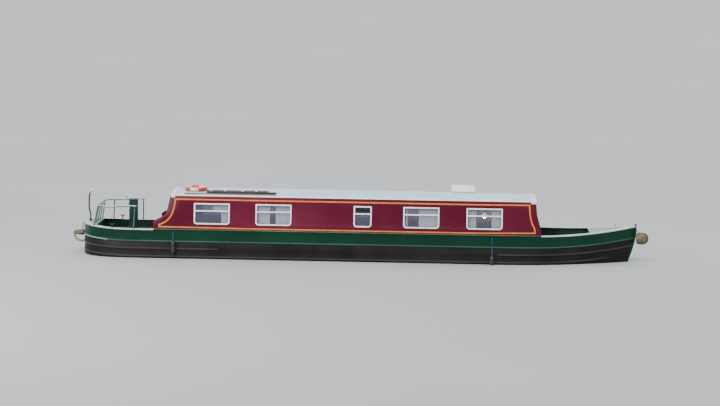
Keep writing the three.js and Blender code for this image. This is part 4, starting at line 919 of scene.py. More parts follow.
for side in ("starboard", "port"):
    sheet = bpy.data.objects[f"cabin_steel_{side}"]
    out = -1 if side == "starboard" else 1
    for end in LINED:
        sliced(sheet, (end, 0, 0), (1, 0, 0), lambda c, n: n.y * out < -0.9)
    repaint(sheet, lining_wood, lambda c, n: n.y * out < -0.9 and in_cabin(c))
    for name in (f"green_band_{side}", f"hull_plating_{side}"):
        repaint(bpy.data.objects[name], lining_wood, lambda c, n: n.y * out < -0.5 and in_cabin(c))

# %% [markdown]
# A folded steel cap closes each end of the roof. It follows the camber and hangs down a hand's breadth over
# the cabin side, and the fore one stands out as a drip. It could be part of the roof's solid, but it is only
# three millimetres thick, so it is added here: its section is drawn flat, from a row of heights over the
# camber, turned to stand across the boat, and given the cap's length.

# %% Fold the roof's end caps
CAP_HANG = [(0.8250, 2.050), (0.8250, 2.0960), (0.8190, 2.1162), (0.8050, 2.1302)]
CAP_OVER_SKIN = 0.0095
CAP_THICK, CAP_SPREAD = 0.003, 1.003
THICK_FROM, THICK_OVER = 2.06, 0.05
CAPS = [("fore_roof_cap", 4.5205, 0.132, 1), ("aft_roof_cap", -4.8335, 0.106, -1)]


def turned_to(piece, front, outwards):
    """Stands flat work, drawn along the cabin side, up across the boat at X = front, facing that way"""
    piece.data.transform(Matrix.Translation((front, 0, 0)) @ Matrix.Rotation(outwards * math.pi / 2, 4, "Z"))


def capping(name, front, long, outwards):
    """A folded cap over the roof's section, as long as given, ending at X = front"""
    half = CAP_HANG + [(y / 100, camber_at(y / 100 * 0.987) + CAP_OVER_SKIN) for y in range(75, 0, -15)]
    inner = half + [(0.0, camber_at(0) + CAP_OVER_SKIN)] + [(-y, z) for y, z in reversed(half)]
    outer = []
    for y, z in inner:
        share = min(1, max(0, (z - THICK_FROM) / THICK_OVER))
        outer.append((y * CAP_SPREAD, z + CAP_THICK * share))
    piece = flat_shape(name, inner + outer[::-1])
    thickened(piece, long, -1)
    turned_to(piece, front, outwards)
    softened(piece, 0.0008)
    finished(piece, white, "hull", "frame_white")


for name, front, long, outwards in CAPS:
    capping(name, front, long, outwards)
    print(name, long, "m long")

# %% [markdown]
# ## Bulkheads and doors
#
# A bulkhead closes the cabin at each end. It is painted like the sides outside and boarded inside. A pair of
# steel doors hangs in each, with a raised panel and a gold line round it. The leaves open flat against the
# bulkhead, so everything on a door has to ride on that door.

# %% Dress the bulkheads
GREEN_BELOW = 1.24
brass = paint("worn_brass", (196, 160, 92), (150, 118, 62), rough=(0.2, 0.4), patch=20, ripple=200, metal=1.0)
for node, inward in (("aft_bulkhead", 1), ("fore_bulkhead", -1)):
    panel = dressed(node, f"{node}_steel", maroon, "hull", "cabin_maroon")
    sliced(panel, (0, 0, GREEN_BELOW), (0, 0, 1), lambda c, n: n.x * inward < -0.9)
    repaint(panel, cross_wood, lambda c, n: n.x * inward > 0.9)
    repaint(panel, dark_green, lambda c, n: n.x * inward < -0.9 and c.z < GREEN_BELOW)

# %% Dress the doors
DOOR_LINE_WIDE = 0.012
LINE_FROM_EDGE, LINE_FROM_FOOT = 0.064, 0.085
KNOB_DEEP = 0.029

for end, outwards in (("stern", -1), ("bow", 1)):
    for side in ("port", "starboard"):
        node = f"{end}_door_{side}"
        low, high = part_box(node)
        door = dressed(node, f"{node}_leaf", maroon, node, "door_maroon")
        knob = low[0] if outwards < 0 else high[0]
        repaint(door, brass, lambda c, n: abs(c.x - knob) < KNOB_DEEP - 0.0005)
        repaint(door, cross_wood, lambda c, n: n.x * outwards < -0.9)
        y0, y1 = sorted((outwards * (low[1] + LINE_FROM_EDGE), outwards * (high[1] - LINE_FROM_EDGE)))
        z0, z1 = low[2] + LINE_FROM_FOOT, high[2] - LINE_FROM_FOOT
        line = hollowed(flat_shape(f"{node}_line", [(y0, z0), (y1, z0), (y1, z1), (y0, z1)]), DOOR_LINE_WIDE)
        thickened(line, 0.001)
        turned_to(line, knob - outwards * KNOB_DEEP, outwards)
        finished(line, gold, node, "door_maroon")
print("gold lines on the doors are", DOOR_LINE_WIDE, "m wide")

# %% [markdown]
# ## Hatch and roof gear
#
# Near the port edge a small hatch stands open, its white lid leaning back on a hinge. A lifebuoy, a gangplank
# and a pole are stowed on the roof, as on any canal boat. The lifebuoy is moulded plastic in three red and
# three white parts, with a raised band of tape on each white one. It is a torus, flattened a little, whose
# faces are picked by their angle round the ring.

# %% Dress the hatch
dressed("roof_hatch", "hatch_coaming", white, "hull", "frame_white", 0.003, 3)
lid = dressed("roof_hatch_lid", "hatch_lid_panel", white, "hatch_lid", "frame_white", 0.004, 3)
repaint(lid, roof_skin, lambda c, n: n.z < -0.6 or (n.y < -0.2 and n.z < 0))

# %% Make the lifebuoy
RING_RADIUS, RING_TUBE = 0.245, 0.054
RING_FLAT = 0.95
RING_TILT = 0.028
RED_PARTS = [(74, 134), (201, 243), (286, 350)]
TAPES = [48, 165, 265]
TAPE_HALF = 7.6
TAPE_THICK = 0.0015
ring_red = paint("lifebuoy_red", (204, 30, 12), (214, 66, 40), rough=(0.35, 0.6), patch=6)
ring_white = paint("lifebuoy_white", (228, 220, 216), (204, 196, 192), rough=(0.35, 0.6), patch=6)
ring_low, ring_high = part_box("lifebuoy")
RING_AT = Vector([(a + b) / 2 for a, b in zip(ring_low, ring_high)])
bpy.ops.object.select_all(action="DESELECT")
bpy.ops.mesh.primitive_torus_add(location=RING_AT, major_radius=RING_RADIUS, minor_radius=RING_TUBE,
                                 major_segments=96, minor_segments=28)
ring = bpy.context.object
ring.scale = (1, 1, RING_FLAT)
ring.rotation_euler = (RING_TILT, 0, 0)
place_done(ring, "lifebuoy_ring")
bpy.ops.object.shade_smooth()
ring.data.materials.append(ring_white)


def bearing(c):
    """Degrees round the ring, from the bow side towards port"""
    return math.degrees(math.atan2(c.y - RING_AT.y, c.x - RING_AT.x)) % 360


repaint(ring, ring_red, lambda c, n: any(a < bearing(c) < b for a, b in RED_PARTS))
choose(ring, "FACE", lambda c, n: any(abs(bearing(c) - a) < TAPE_HALF for a in TAPES))
bpy.ops.mesh.extrude_region_shrink_fatten(TRANSFORM_OT_shrink_fatten={"value": TAPE_THICK})
bpy.ops.object.mode_set(mode="OBJECT")
finished(ring, None, "hull", "lifebuoy_red", "lifebuoy")
print("lifebuoy", round(2 * (RING_RADIUS + RING_TUBE), 3), "m across")

# %% [markdown]
# The gangplank is a painted board with white ends and white battens, so that it can be seen at dusk. The
# solid is right in shape, so it gets soft edges, and its top, ends and battens get their paints. The pole is
# round, and a round thing is turned: a profile with a rounded foot and an iron shoe is spun and laid along
# the rail.

# %% Dress the plank
WHITE_END = 0.19
BATTEN_DEEP = 0.0113
plank_paint = boards("plank_plum_paint", (98, 46, 66), (74, 36, 50), "X", "Y", 0.15, rough=(0.5, 0.7))
# The board's sides and underside are a dark grey: painted shade under the edge of its top.
plank_shaded_side = paint("plank_side_shade", (48, 44, 46), (66, 60, 60), rough=(0.5, 0.7), patch=5)
plank = dressed("gangplank", "gangplank_board", plank_shaded_side, "hull", "plank_wood", 0.003)
plank_low, plank_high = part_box("gangplank")
sliced(plank, (plank_high[0] - WHITE_END, 0, 0), (1, 0, 0), lambda c, n: n.z > 0.9)
repaint(plank, plank_paint, lambda c, n: n.z > 0.5)
repaint(plank, white, lambda c, n: n.z > -0.1 and c.z > plank_high[2] - BATTEN_DEEP)
repaint(plank, white, lambda c, n: n.z > 0.2 and c.x > plank_high[0] - WHITE_END)
print("plank", round(plank_high[0] - plank_low[0], 2), "m long")

# %% Turn the pole
SHOE_LONG = 0.115
pole_low, pole_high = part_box("boat_pole")
pole_long = pole_high[0] - pole_low[0]
pole_radius = (pole_high[2] - pole_low[2]) / 2 - 0.0002
pole_side = [(0.0, 0.0), (0.008, 0.001), (0.014, 0.006), (0.0155, 0.012), (0.0155, 0.11), (0.0165, 0.112)]
pole_side += [(pole_radius, 0.118), (pole_radius, pole_long - 0.02), (pole_radius * 0.8, pole_long - 0.006)]
pole_side += [(0.0, pole_long)]
pole_foot = (pole_low[0], (pole_low[1] + pole_high[1]) / 2, (pole_low[2] + pole_high[2]) / 2)
pole = turned("boat_pole_shaft", pole_side, pole_foot, (1, 0, 0), 24)
ash = boards("weathered_ash", (106, 98, 88), (72, 66, 60), "X", "Z", 0.5, rough=(0.6, 0.8), grain=30)
finished(pole, ash, "hull", "plank_wood", "boat_pole")
repaint(pole, dark_steel, lambda c, n: c.x < pole_low[0] + SHOE_LONG)
print("pole", round(pole_long, 2), "m long")

# %% [markdown]
# ## Decks and wells
#
# The short decks at the two ends are steel, painted a pale green with sand in it. The steerer stands on
# boards in an open well, and there is another well in the bow. Both wells are lined with steel painted dark
# green. The boards are a pattern in the material, because their joints are only two millimetres wide. The
# mooring stud on the foredeck is painted like the guard rail.

# %% Dress the decks
DECK_BOARD_WIDE, FLOOR_BOARD_WIDE = 0.12, 0.14
STUD_AT, STUD_FOOT = 6.605, 1.385
STUD_HALF_LONG, STUD_HALF_WIDE = 0.04, 0.13


def on_stud(c, n):
    """Whether a face belongs to the mooring stud"""
    return c.z > STUD_FOOT and abs(c.x - STUD_AT) < STUD_HALF_LONG and abs(c.y) < STUD_HALF_WIDE


deck_boards = boards("well_deck_boards", (66, 54, 44), (42, 34, 28), "X", "Y", DECK_BOARD_WIDE, gap=0.03)
floor_boards = boards("cabin_floor_boards", (150, 112, 76), (110, 78, 50), "X", "Y", FLOOR_BOARD_WIDE)
for node, name, finish, slot in (
    ("after_deck", "stern_deck", deck_paint, "deck_pale"),
    ("fore_deck", "bow_deck", deck_paint, "deck_pale"),
    ("steerer_deck", "steerer_boards", deck_boards, "deck_brown"),
    ("well_deck", "bow_well_boards", deck_boards, "deck_brown"),
    ("cabin_floor", "cabin_boards", floor_boards, "deck_brown"),
    ("stern_lining", "stern_well_lining", dark_green, "lining_green"),
    ("bow_lining", "bow_well_lining", dark_green, "lining_green"),
):
    piece = dressed(node, name, finish, "hull", slot)
    print(name, len(piece.data.polygons), "faces")
repaint(bpy.data.objects["bow_deck"], pale_green, on_stud)

# %% [markdown]
# The foredeck's solid stops short of the point where the two gunwales meet. A small three-cornered plate
# closes that gap. It starts as a circle of three corners, and each corner is put where the gunwales leave
# off.

# %% Close the point of the bow
TIP = [(6.8353, -0.0642, 1.3926), (6.8353, 0.0642, 1.3926), (6.9425, 0.0, 1.4048)]
TIP_THICK = 0.009
bpy.ops.object.select_all(action="DESELECT")
bpy.ops.mesh.primitive_circle_add(vertices=3, radius=0.1, fill_type="NGON")
tip_plate = place_done(bpy.context.object, "bow_tip_plate")
for corner, (x, y, z) in zip(tip_plate.data.vertices, TIP):
    corner.co = (x, y, z)
tip_plate.data.update()
thickened(tip_plate, TIP_THICK, -1 if tip_plate.data.polygons[0].normal.z > 0 else 1)
softened(tip_plate, 0.001)
finished(tip_plate, deck_paint, "hull", "deck_pale")
print("tip plate", round(TIP[2][0] - TIP[0][0], 3), "m long")

# %% [markdown]
# ## Guard rail
#
# A rail of welded tube leans round the steerer's deck at hip height. It is one long bent tube on posts, so it
# is drawn as one line through listed points, with a round bevel. Only half of the points are placed and
# the other half are mirrored. Each post is a shorter tube that runs into the rail, on a small turned foot.

# %% Bend the guard rail
FOOT_TAKEN_AFT, FOOT_CLEAR = 0.11, 0.0003
RAIL_RISE = 0.49
RAIL_RADIUS, POST_RADIUS = 0.0208, 0.0158
FOOT_SUNK = 0.006


def foot_at(x):
    """Height of a fitting's foot on the rising stern, read a little aft of the fitting"""
    return gunwale_at(x - FOOT_TAKEN_AFT) + FOOT_CLEAR


AFT_TOP = gunwale_at(-6.83) + RAIL_RISE
RAIL_SIDE = [(-5.725, 0.855, 1.81), (-6.1, 0.85, 1.802), (-6.45, 0.83, 1.78), (-6.64, 0.77, AFT_TOP + 0.008)]
RAIL_SIDE += [(-6.73, 0.66, AFT_TOP), (-6.755, 0.5, AFT_TOP)]
rail_line = [(x, -y, z) for x, y, z in RAIL_SIDE] + [(-6.76, 0, AFT_TOP)] + RAIL_SIDE[::-1]
rail_line = smoothed(rail_line, 8)
# The rail is given a pale green that stands for the sky's highlight along the top of its dark green tube: a
# painted highlight.
top_rail = tube("guard_rail_top", rail_line, RAIL_RADIUS, pale_green, 18)

POSTS = [(-5.78, -0.985, -5.76, -0.852), (-6.83, -0.74, -6.745, -0.63), (-6.84, -0.37, -6.755, -0.33)]
POSTS += [(-6.84, 0, -6.755, 0), (-6.84, 0.37, -6.755, 0.33), (-6.83, 0.74, -6.745, 0.63)]
POSTS += [(-6.56, 0.93, -6.52, 0.812), (-6.06, 0.985, -6.04, 0.852), (-5.78, 0.985, -5.76, 0.852)]
FOOT = [(0.0, 0.0), (0.031, 0.0), (0.0315, 0.002), (0.031, 0.009), (0.028, 0.0125), (0.021, 0.0135)]
FOOT += [(0.0175, 0.019), (0.0, 0.019)]
parts = []
for number, (x0, y0, x1, y1) in enumerate(POSTS, 1):
    top = min(rail_line, key=lambda place: math.hypot(place[0] - x1, place[1] - y1))[2]
    ends = [(x0, y0, foot_at(x0) + FOOT_SUNK), (x1, y1, top)]
    # Each post gets the lighter green: painted light on a dark green tube.
    parts.append(tube(f"rail_post_{number}", ends, POST_RADIUS, lit_post_green, 14))
    foot = turned(f"rail_foot_{number}", FOOT, (x0, y0, foot_at(x0)), steps=20)
    foot.data.materials.append(dark_green)
    parts.append(foot)
posts = joined("guard_rail_posts", parts)
# Faces that look down get the tube's own dark green, so the pale green stays on top as a painted highlight.
repaint(top_rail, dark_green, lambda c, n: n.z < -0.2)
finished(top_rail, None, "hull", "rail_green", "stern_rail")
finished(posts, None, "hull", "rail_green", "stern_rail")
print("guard rail", round(length_of(rail_line), 2), "m of tube on", len(POSTS), "posts")

# %% [markdown]
# ## Steering and engine control
#
# The rudder hangs under the stern on a stock that comes up through the deck. Above the deck the stock turns
# into a bent bar, the swan neck, which the tiller slides over when the boat is steered. It is drawn as one
# thick line. In front of it stands the control column, a steel box with a chrome lever on its aft face and
# two dials, which are turned like everything round.

# %% Bend the swan neck
NECK = [(-7.03, 1.3803), (-7.03, 1.44), (-7.042, 1.53), (-7.068, 1.64), (-7.072, 1.8), (-7.066, 1.94)]
NECK += [(-7.048, 2.04), (-7.014, 2.102), (-6.964, 2.122)]
NECK_RADIUS = 0.0198
CHROME_ABOVE, BITUMEN_BELOW = 2.03, 0.45
chrome = paint("bright_chrome", (214, 216, 220), (190, 192, 198), rough=(0.06, 0.18), patch=20, ripple=30,
               deep=0.0001, metal=1.0)
swan_neck = tube("swan_neck", smoothed([(x, 0, z) for x, z in NECK], 6), NECK_RADIUS, dark_steel, 20)
finished(swan_neck, None, "rudder", "steel_dark", "tiller_post")
repaint(swan_neck, chrome, lambda c, n: c.z > CHROME_ABOVE)
blade = dressed("rudder", "rudder_blade", dark_steel, "rudder", "steel_dark")
repaint(blade, black, lambda c, n: c.z < BITUMEN_BELOW)
dressed("control_column", "control_box", column_green, "hull", "lining_green", 0.006, 3)
print("swan neck rises to", NECK[-1][1])

# %% Turn the lever and the dials
LEVER_AT = (-6.0233, 0, 1.79)
BALL_AT = (LEVER_AT[0] - 0.062, 0, 1.948)
ARM_RADIUS = 0.0075
DIAL_AT, DIALS_TO_SIDE = (-6.0103, 1.64), 0.055
DIAL_FACE = 0.03
boss_side = [(0.0, 0.0), (0.036, 0.0), (0.0375, 0.003), (0.037, 0.012), (0.03, 0.018), (0.022, 0.026)]
boss_side += [(0.02, 0.038), (0.0, 0.04)]
boss = turned("lever_boss", boss_side, LEVER_AT, (-1, 0, 0))
arm_line = [(LEVER_AT[0] - 0.03, 0, 1.792), (LEVER_AT[0] - 0.042, 0, 1.85), (LEVER_AT[0] - 0.06, 0, 1.94)]
arm = tube("lever_arm", arm_line, ARM_RADIUS, chrome, 14)
half_ball = [(0.0, -0.02), (0.008, -0.0183), (0.0145, -0.0138), (0.0188, -0.0068)]
ball_side = half_ball + [(0.02, 0.0)] + [(r, -h) for r, h in reversed(half_ball)]
ball = turned("lever_ball", ball_side, BALL_AT, steps=28)
boss.data.materials.append(chrome)
ball.data.materials.append(rubber)
lever = joined("throttle_lever", [boss, arm, ball])
finished(lever, None, "hull", "lever_chrome", "control_lever")
dial_side = [(0.0, 0.004), (DIAL_FACE, 0.004), (0.031, 0.009), (0.036, 0.009), (0.0375, 0.005), (0.0375, 0.0)]
dial_side += [(0.0, 0.0)]
for name, y in (("port", DIALS_TO_SIDE), ("starboard", -DIALS_TO_SIDE)):
    dial = turned(f"dial_{name}", dial_side, (DIAL_AT[0], y, DIAL_AT[1]), (-1, 0, 0))
    finished(dial, chrome, "hull", "lever_chrome")
    repaint(dial, rubber, lambda c, n: math.hypot(c.y - y, c.z - DIAL_AT[1]) < DIAL_FACE)
print("lever ball at z", BALL_AT[2])

# %% [markdown]
# Mooring dollies are T-shaped posts beside the well, which the mooring ropes are wound round. Stem and arm
# are turned bars welded together, and the arm is the same at both ends, so only half of its side is placed.

# %% Turn the dollies
DOLLY_AT, DOLLY_TO_SIDE = -6.33, 0.96
ARM_LONG, ARM_UP = 0.124, 0.083
stem_side = [(0.0, 0.0), (0.033, 0.0), (0.0335, 0.003), (0.033, 0.008), (0.02, 0.012), (0.0155, 0.02)]
stem_side += [(0.0155, 0.08), (0.0, 0.09)]
half_arm = [(0.0, 0.0), (0.011, 0.001), (0.015, 0.006), (0.0145, 0.014), (0.0125, 0.024)]
arm_side = half_arm + [(r, ARM_LONG - h) for r, h in reversed(half_arm)]
dolly_foot = foot_at(DOLLY_AT)
for side, y in (("port", DOLLY_TO_SIDE), ("starboard", -DOLLY_TO_SIDE)):
    stem = turned(f"dolly_stem_{side}", stem_side, (DOLLY_AT, y, dolly_foot), steps=24)
    arm_start = (DOLLY_AT - ARM_LONG / 2, y, dolly_foot + ARM_UP)
    arm = turned(f"dolly_arm_{side}", arm_side, arm_start, (1, 0, 0), 20)
    dolly = joined(f"mooring_dolly_{side}", [stem, arm])
    finished(dolly, dark_green, "hull", "rail_green", f"dolly_{side}")
print("dollies stand at z", round(dolly_foot, 3))

# %% [markdown]
# The engine, propeller and shaft are hidden below, but they are real pieces and get real finishes: a grey
# painted casting, and bronze that has dulled in the water.

# %% Dress the engine and the drive
bronze = paint("dull_bronze", (150, 112, 66), (96, 84, 58), rough=(0.3, 0.5), patch=12, metal=1.0)
engine_paint = paint("engine_grey", (104, 112, 118), (70, 74, 76), rough=(0.45, 0.65), patch=5)
dressed("propeller", "propeller_wheel", bronze, "propeller", "bronze", 0.001, 2, 50)
dressed("propeller_shaft", "drive_shaft", dark_steel, "propeller", "steel_dark", 0.001)
engine = dressed("engine", "engine_block", engine_paint, "hull", "engine_grey", 0.02, 4)
print(engine.name, "has", len(engine.data.polygons), "faces")

# %% [markdown]
# ## Rope fenders
#
# Rope fenders at the stern and the stem keep the steel off lock gates. Each is a core covered in woven rope
# work, so its surface is a mat of round strands. The form is turned, squashed into its cushion shape, and the
# weave is a pattern that follows the surface: strands slant round the form one way and the other. Two rope
# hoops hang under the stern fender, and chains hold both, each on a pin welded to the hull.

# %% Woven rope finish
def woven(name, light, dark, across, along, deep=0.006):
    """Crossed strands on a form's own coordinates, with painted shade in the grooves between them"""
    material, tree, shader = new_finish(name)
    uv = tree.nodes.new("ShaderNodeUVMap")
    uv.uv_map = "along"
    heights = []
    for slant in (math.pi / 4, -math.pi / 4):
        turn = added(tree, "Mapping", Vector=uv.outputs["UV"], Scale=(across, along, 1))
        filled(turn, Rotation=(0, 0, slant))
        wave = added(tree, "TexWave", Vector=turn.outputs["Vector"], Scale=1.0, Distortion=0.4)
        heights.append(wave.outputs["Fac"])
    top = worked(tree, "MAXIMUM", *heights)
    strand = mixed(tree, ranged(tree, noise_on(tree, 9, 5), 0, 1), linear(*light), linear(*dark))
    # Between the strands the colour falls to a third of the dark tone: painted shade in the grooves.
    groove = ranged(tree, top, 1, 0, 0.1, 0.7)
    shade = tuple(value * 0.35 for value in dark)
    filled(shader, Base_Color=mixed(tree, groove, strand, linear(*shade)), Roughness=0.85)
    raised(tree, top, deep, 1.0)
    return material


def wrap_along(piece, start, axis, long):
    """Writes a UV map: once round the form, and along it from its root"""
    mesh = piece.data
    layer = mesh.uv_layers.new(name="along")
    axis = Vector(axis)
    side = axis.orthogonal().normalized()
    up = axis.cross(side)
    for face in mesh.polygons:
        middle = face.center - Vector(start)
        turn0 = math.atan2(middle.dot(up), middle.dot(side)) / math.tau
        for corner in face.loop_indices:
            place = mesh.vertices[mesh.loops[corner].vertex_index].co - Vector(start)
            turn = math.atan2(place.dot(up), place.dot(side)) / math.tau
            turn += round(turn0 - turn)
            layer.data[corner].uv = (turn, place.dot(axis) / long)


def squashed(piece, centre, share, axis):
    """Brings a form down to that share of its size along one axis, about a point"""
    away = Matrix.Translation(centre)
    piece.data.transform(away @ Matrix.Scale(share, 4, axis) @ away.inverted())


STRANDS_ROUND, STRANDS_ALONG = 20, 14
rope_weave = woven("woven_rope", (150, 132, 104), (96, 84, 66), STRANDS_ROUND, STRANDS_ALONG)
print("strands round a fender:", STRANDS_ROUND)

# %% Turn the stern fender
STERN_FENDER_AT = (-7.185, 0.0, 1.0)
STERN_FENDER_LONG, STERN_FENDER_FLAT = 0.29, 0.42
HOOP_TO_SIDE, HOOP_RADIUS = 0.09, 0.0125
stern_side = [(0, 0), (0.09, 0.0), (0.15, 0.006), (0.162, 0.02), (0.165, 0.041), (0.163, 0.08)]
stern_side += [(0.158, 0.122), (0.15, 0.165), (0.14, 0.209), (0.122, 0.245), (0.1, 0.27), (0.06, 0.284)]
stern_side += [(0, STERN_FENDER_LONG)]
stern_pad = turned("stern_fender_mat", stern_side, STERN_FENDER_AT, (-1, 0, 0), 48)
wrap_along(stern_pad, STERN_FENDER_AT, (-1, 0, 0), STERN_FENDER_LONG)
squashed(stern_pad, STERN_FENDER_AT, STERN_FENDER_FLAT, (0, 0, 1))
hoop_braid = braid("hoop_rope", (150, 146, 132), (92, 88, 78), 3, 0.04, 0.0015)
x0 = STERN_FENDER_AT[0]
for number, side in enumerate((-1, 1), 1):
    y = side * HOOP_TO_SIDE
    points = [(x0 - 0.252, y * 0.5, 0.988), (x0 - 0.268, y * 0.7, 0.934), (x0 - 0.232, y * 0.9, 0.854)]
    points += [(x0 - 0.15, y, 0.786), (x0 - 0.008, y * 1.05, 0.768)]
    hoop = tube(f"fender_hoop_{number}", smoothed(points, 6), HOOP_RADIUS, hoop_braid, 12)
    finished(hoop, None, "hull", "rope")
finished(stern_pad, rope_weave, "hull", "rope", "stern_fender")
print("stern fender reaches", round(x0 - STERN_FENDER_LONG, 3))

# %% [markdown]
# A chain is made link by link. A link is a closed wire, two half circles with straight sides between them,
# and each stands a quarter turn from the last. Neighbours overlap by a little more than the wire is thick.

# %% Link a chain
LINK_LONG, LINK_HALF_WIDE = 0.034, 0.007
LINK_WIRE = 0.0042
LINK_OVERLAP = 2.2 * LINK_WIRE
PIN_RADIUS, PIN_PAST = 0.0065, 0.012
chain_steel = paint("galvanised_chain", (150, 152, 152), (108, 108, 106), rough=(0.35, 0.55), patch=25,
                    metal=0.8)


def link_line(middle, axis, flat, steps=20):
    """The closed line of one link, its long side along the axis"""
    half = LINK_LONG / 2 - LINK_WIRE - LINK_HALF_WIDE
    points = []
    for step in range(steps):
        turn = math.tau * step / steps
        shift = half if math.cos(turn) > 0 else -half
        lengthwise = axis * (shift + LINK_HALF_WIDE * math.cos(turn))
        points.append(tuple(middle + lengthwise + flat * LINK_HALF_WIDE * math.sin(turn)))
    return points


def chain(name, start, end, weld):
    """Links along a straight line, hung on a pin from the steel"""
    start, end = Vector(start), Vector(end)
    axis = (end - start).normalized()
    count = max(2, round((end - start).length / (LINK_LONG - LINK_OVERLAP)))
    parts = []
    side = axis.orthogonal().normalized()
    for i in range(count):
        flat = side if i % 2 else axis.cross(side)
        line = link_line(start.lerp(end, (i + 0.5) / count), axis, flat)
        parts.append(tube(f"{name}_link_{i}", line, LINK_WIRE, chain_steel, 8, closed=True))
    past = end + (end - Vector(weld)).normalized() * PIN_PAST
    parts.append(tube(f"{name}_pin", [weld, tuple(past)], PIN_RADIUS, chain_steel, 12))
    return joined(name, parts)


for number, side in enumerate((-1, 1), 1):
    top = (x0 - 0.009, side * 0.096, gunwale_at(x0) - 0.024)
    weld = (x0 + 0.03, side * 0.096, top[2] + 0.002)
    links = chain(f"stern_chain_{number}", (x0 - 0.07, side * 0.08, 1.04), top, weld)
    finished(links, None, "hull", "steel_dark")
print("chain links are", LINK_LONG, "m long")

# %% [markdown]
# The bow fender sits against the raked stem, so its root is found from the stem's own curve. Its profile is
# given as radii at shares of its length.

# %% Turn the bow fender
STEM_FOREMOST, STEM_RAKE, STEM_TALL = 7.165, 0.42, 1.25
BOW_FENDER_END, BOW_FENDER_SLIM = 7.475, 0.72
SWELL = [(0.11, 0.03), (0.138, 0.1), (0.15, 0.2), (0.156, 0.36), (0.156, 0.5), (0.149, 0.65), (0.136, 0.78)]
SWELL += [(0.112, 0.88), (0.08, 0.95), (0.04, 0.988)]


def bow_at(z):
    """X of the stem at that height"""
    return STEM_FOREMOST - STEM_RAKE * max(0.0, 1 - z / STEM_TALL) ** 1.4


bow_z = 1.11
bow_x = bow_at(bow_z) + 0.006
bow_long = BOW_FENDER_END - bow_x
bow_side = [(0, 0.0), (0.06, 0.002)] + [(r, share * bow_long) for r, share in SWELL] + [(0, bow_long)]
BOW_FENDER_AT = (bow_x, 0.0, bow_z)
bow_pad = turned("bow_fender_mat", bow_side, BOW_FENDER_AT, (1, 0, 0), 48)
wrap_along(bow_pad, BOW_FENDER_AT, (1, 0, 0), bow_long)
squashed(bow_pad, BOW_FENDER_AT, BOW_FENDER_SLIM, (0, 1, 0))
finished(bow_pad, rope_weave, "hull", "rope", "bow_fender")
for number, side in enumerate((-1, 1), 1):
    top = (bow_x + 0.012, side * 0.07, bow_z + 0.224)
    weld = (bow_x - 0.006, side * 0.006, bow_z + 0.222)
    links = chain(f"bow_chain_{number}", (bow_x + 0.1, side * 0.062, bow_z + 0.11), top, weld)
    finished(links, None, "hull", "steel_dark")
print("bow fender", round(bow_long, 3), "m long at", round(bow_x, 3))

# %% [markdown]
# ## Lace curtains
#
# Net curtains hang inside the windows from a wire, gathered into soft pleats. A sheet of cloth has a fixed
# size: gathering it doesn't stretch it, so a panel half a metre wide is made from a longer strip whose waves
# take up the rest. A grid is bent into those waves by moving its points: they are even at the wire and
# deepen and wander towards the hem. The length of one row along its waves is the width the cloth was cut to.

# %% Lace finish
NET_SCALE = 90
THREAD_COVER, HOLE_COVER = 0.98, 0.8


def lace(name):
    """Sheer net with a darker mesh pattern: partly clear, rough, and lit through"""
    material, tree, shader = new_finish(name)
    uv = tree.nodes.new("ShaderNodeUVMap")
    uv.uv_map = "UVMap"
    net = added(tree, "TexVoronoi", Vector=uv.outputs["UV"], Scale=NET_SCALE, Randomness=0.35)
    holes = net.outputs["Distance"]
    tone = mixed(tree, ranged(tree, holes, 0, 1, 0.1, 0.5), linear(249, 249, 255), linear(222, 224, 238))
    cover = ranged(tree, holes, THREAD_COVER, HOLE_COVER, 0.15, 0.5)
    filled(shader, Base_Color=tone, Alpha=cover, Roughness=0.9, Sheen_Weight=0.3)
    raised(tree, holes, 0.0006, 0.4)
    return material


net_curtain = lace("net_curtain_lace")
print("lace has", len(net_curtain.node_tree.nodes), "nodes")

# %% [markdown]
# Heights are measured up the leaning cabin side. The wire's height, the hem's and the cloth's depth behind
# the steel's outer face are the same for every panel. One panel is tied back, so its edge is drawn in lower
# down.

# %% Pleat a curtain
HEM = 0.12
WIRE = 0.692
CLOTH_DEPTH = 0.076
POINTS_TO_A_PLEAT, ROWS = 10, 44
TIE_STARTS, TIE_TAKES = 0.28, 0.22
PLEAT_DEEP, HEM_DEEPER = 0.0055, 0.003
SWAY = 0.35


def curtain(name, x0, x1, pleats, tied=None):
    """A pleated panel, flat on the cabin side; tied is how far its aft edge is drawn in at the hem"""
    across, down = pleats * POINTS_TO_A_PLEAT, ROWS
    bpy.ops.object.select_all(action="DESELECT")
    bpy.ops.mesh.primitive_grid_add(x_subdivisions=across, y_subdivisions=down, size=1, calc_uvs=True)
    cloth = bpy.context.object
    cloth.name = name
    rows = {}
    for corner in cloth.data.vertices:
        u, v = corner.co.x + 0.5, corner.co.y + 0.5
        drop = 1 - v
        left, right = x0, x1
        if tied:
            pulled = min(1, max(0, (drop - TIE_STARTS) / TIE_TAKES))
            left = x0 + tied * pulled * pulled * (3 - 2 * pulled)
        sway = SWAY * math.sin(3.1 * drop + math.tau * u)
        wave = math.sin(math.tau * pleats * u + sway)
        depth = PLEAT_DEEP + HEM_DEEPER * drop
        corner.co = (left + (right - left) * u, CLOTH_DEPTH + depth * wave, HEM + (WIRE - HEM) * v)
        rows.setdefault(round(v * down), []).append(tuple(corner.co))
    cut = max(length_of(sorted(row)) for row in rows.values())
    take(cloth)
    bpy.ops.object.shade_smooth()
    return cloth, cut


def put_inside(piece, side):
    """Stands flat work up on the cabin's starboard side, or its mirror image to port"""
    piece.data.transform(ON_SIDE)
    if side == "port":
        piece.data.transform(Matrix.Scale(-1, 4, (0, 1, 0)))
        piece.data.flip_normals()


print("curtains are", round(WIRE - HEM, 3), "m long")

# %% [markdown]
# Each panel is a row of a table: its window, where it starts and ends in shares of the window's width, how
# many pleats it has, and how far it is tied back. To starboard the panels are parted as in the picture. The
# port side isn't seen, and its panels are drawn.

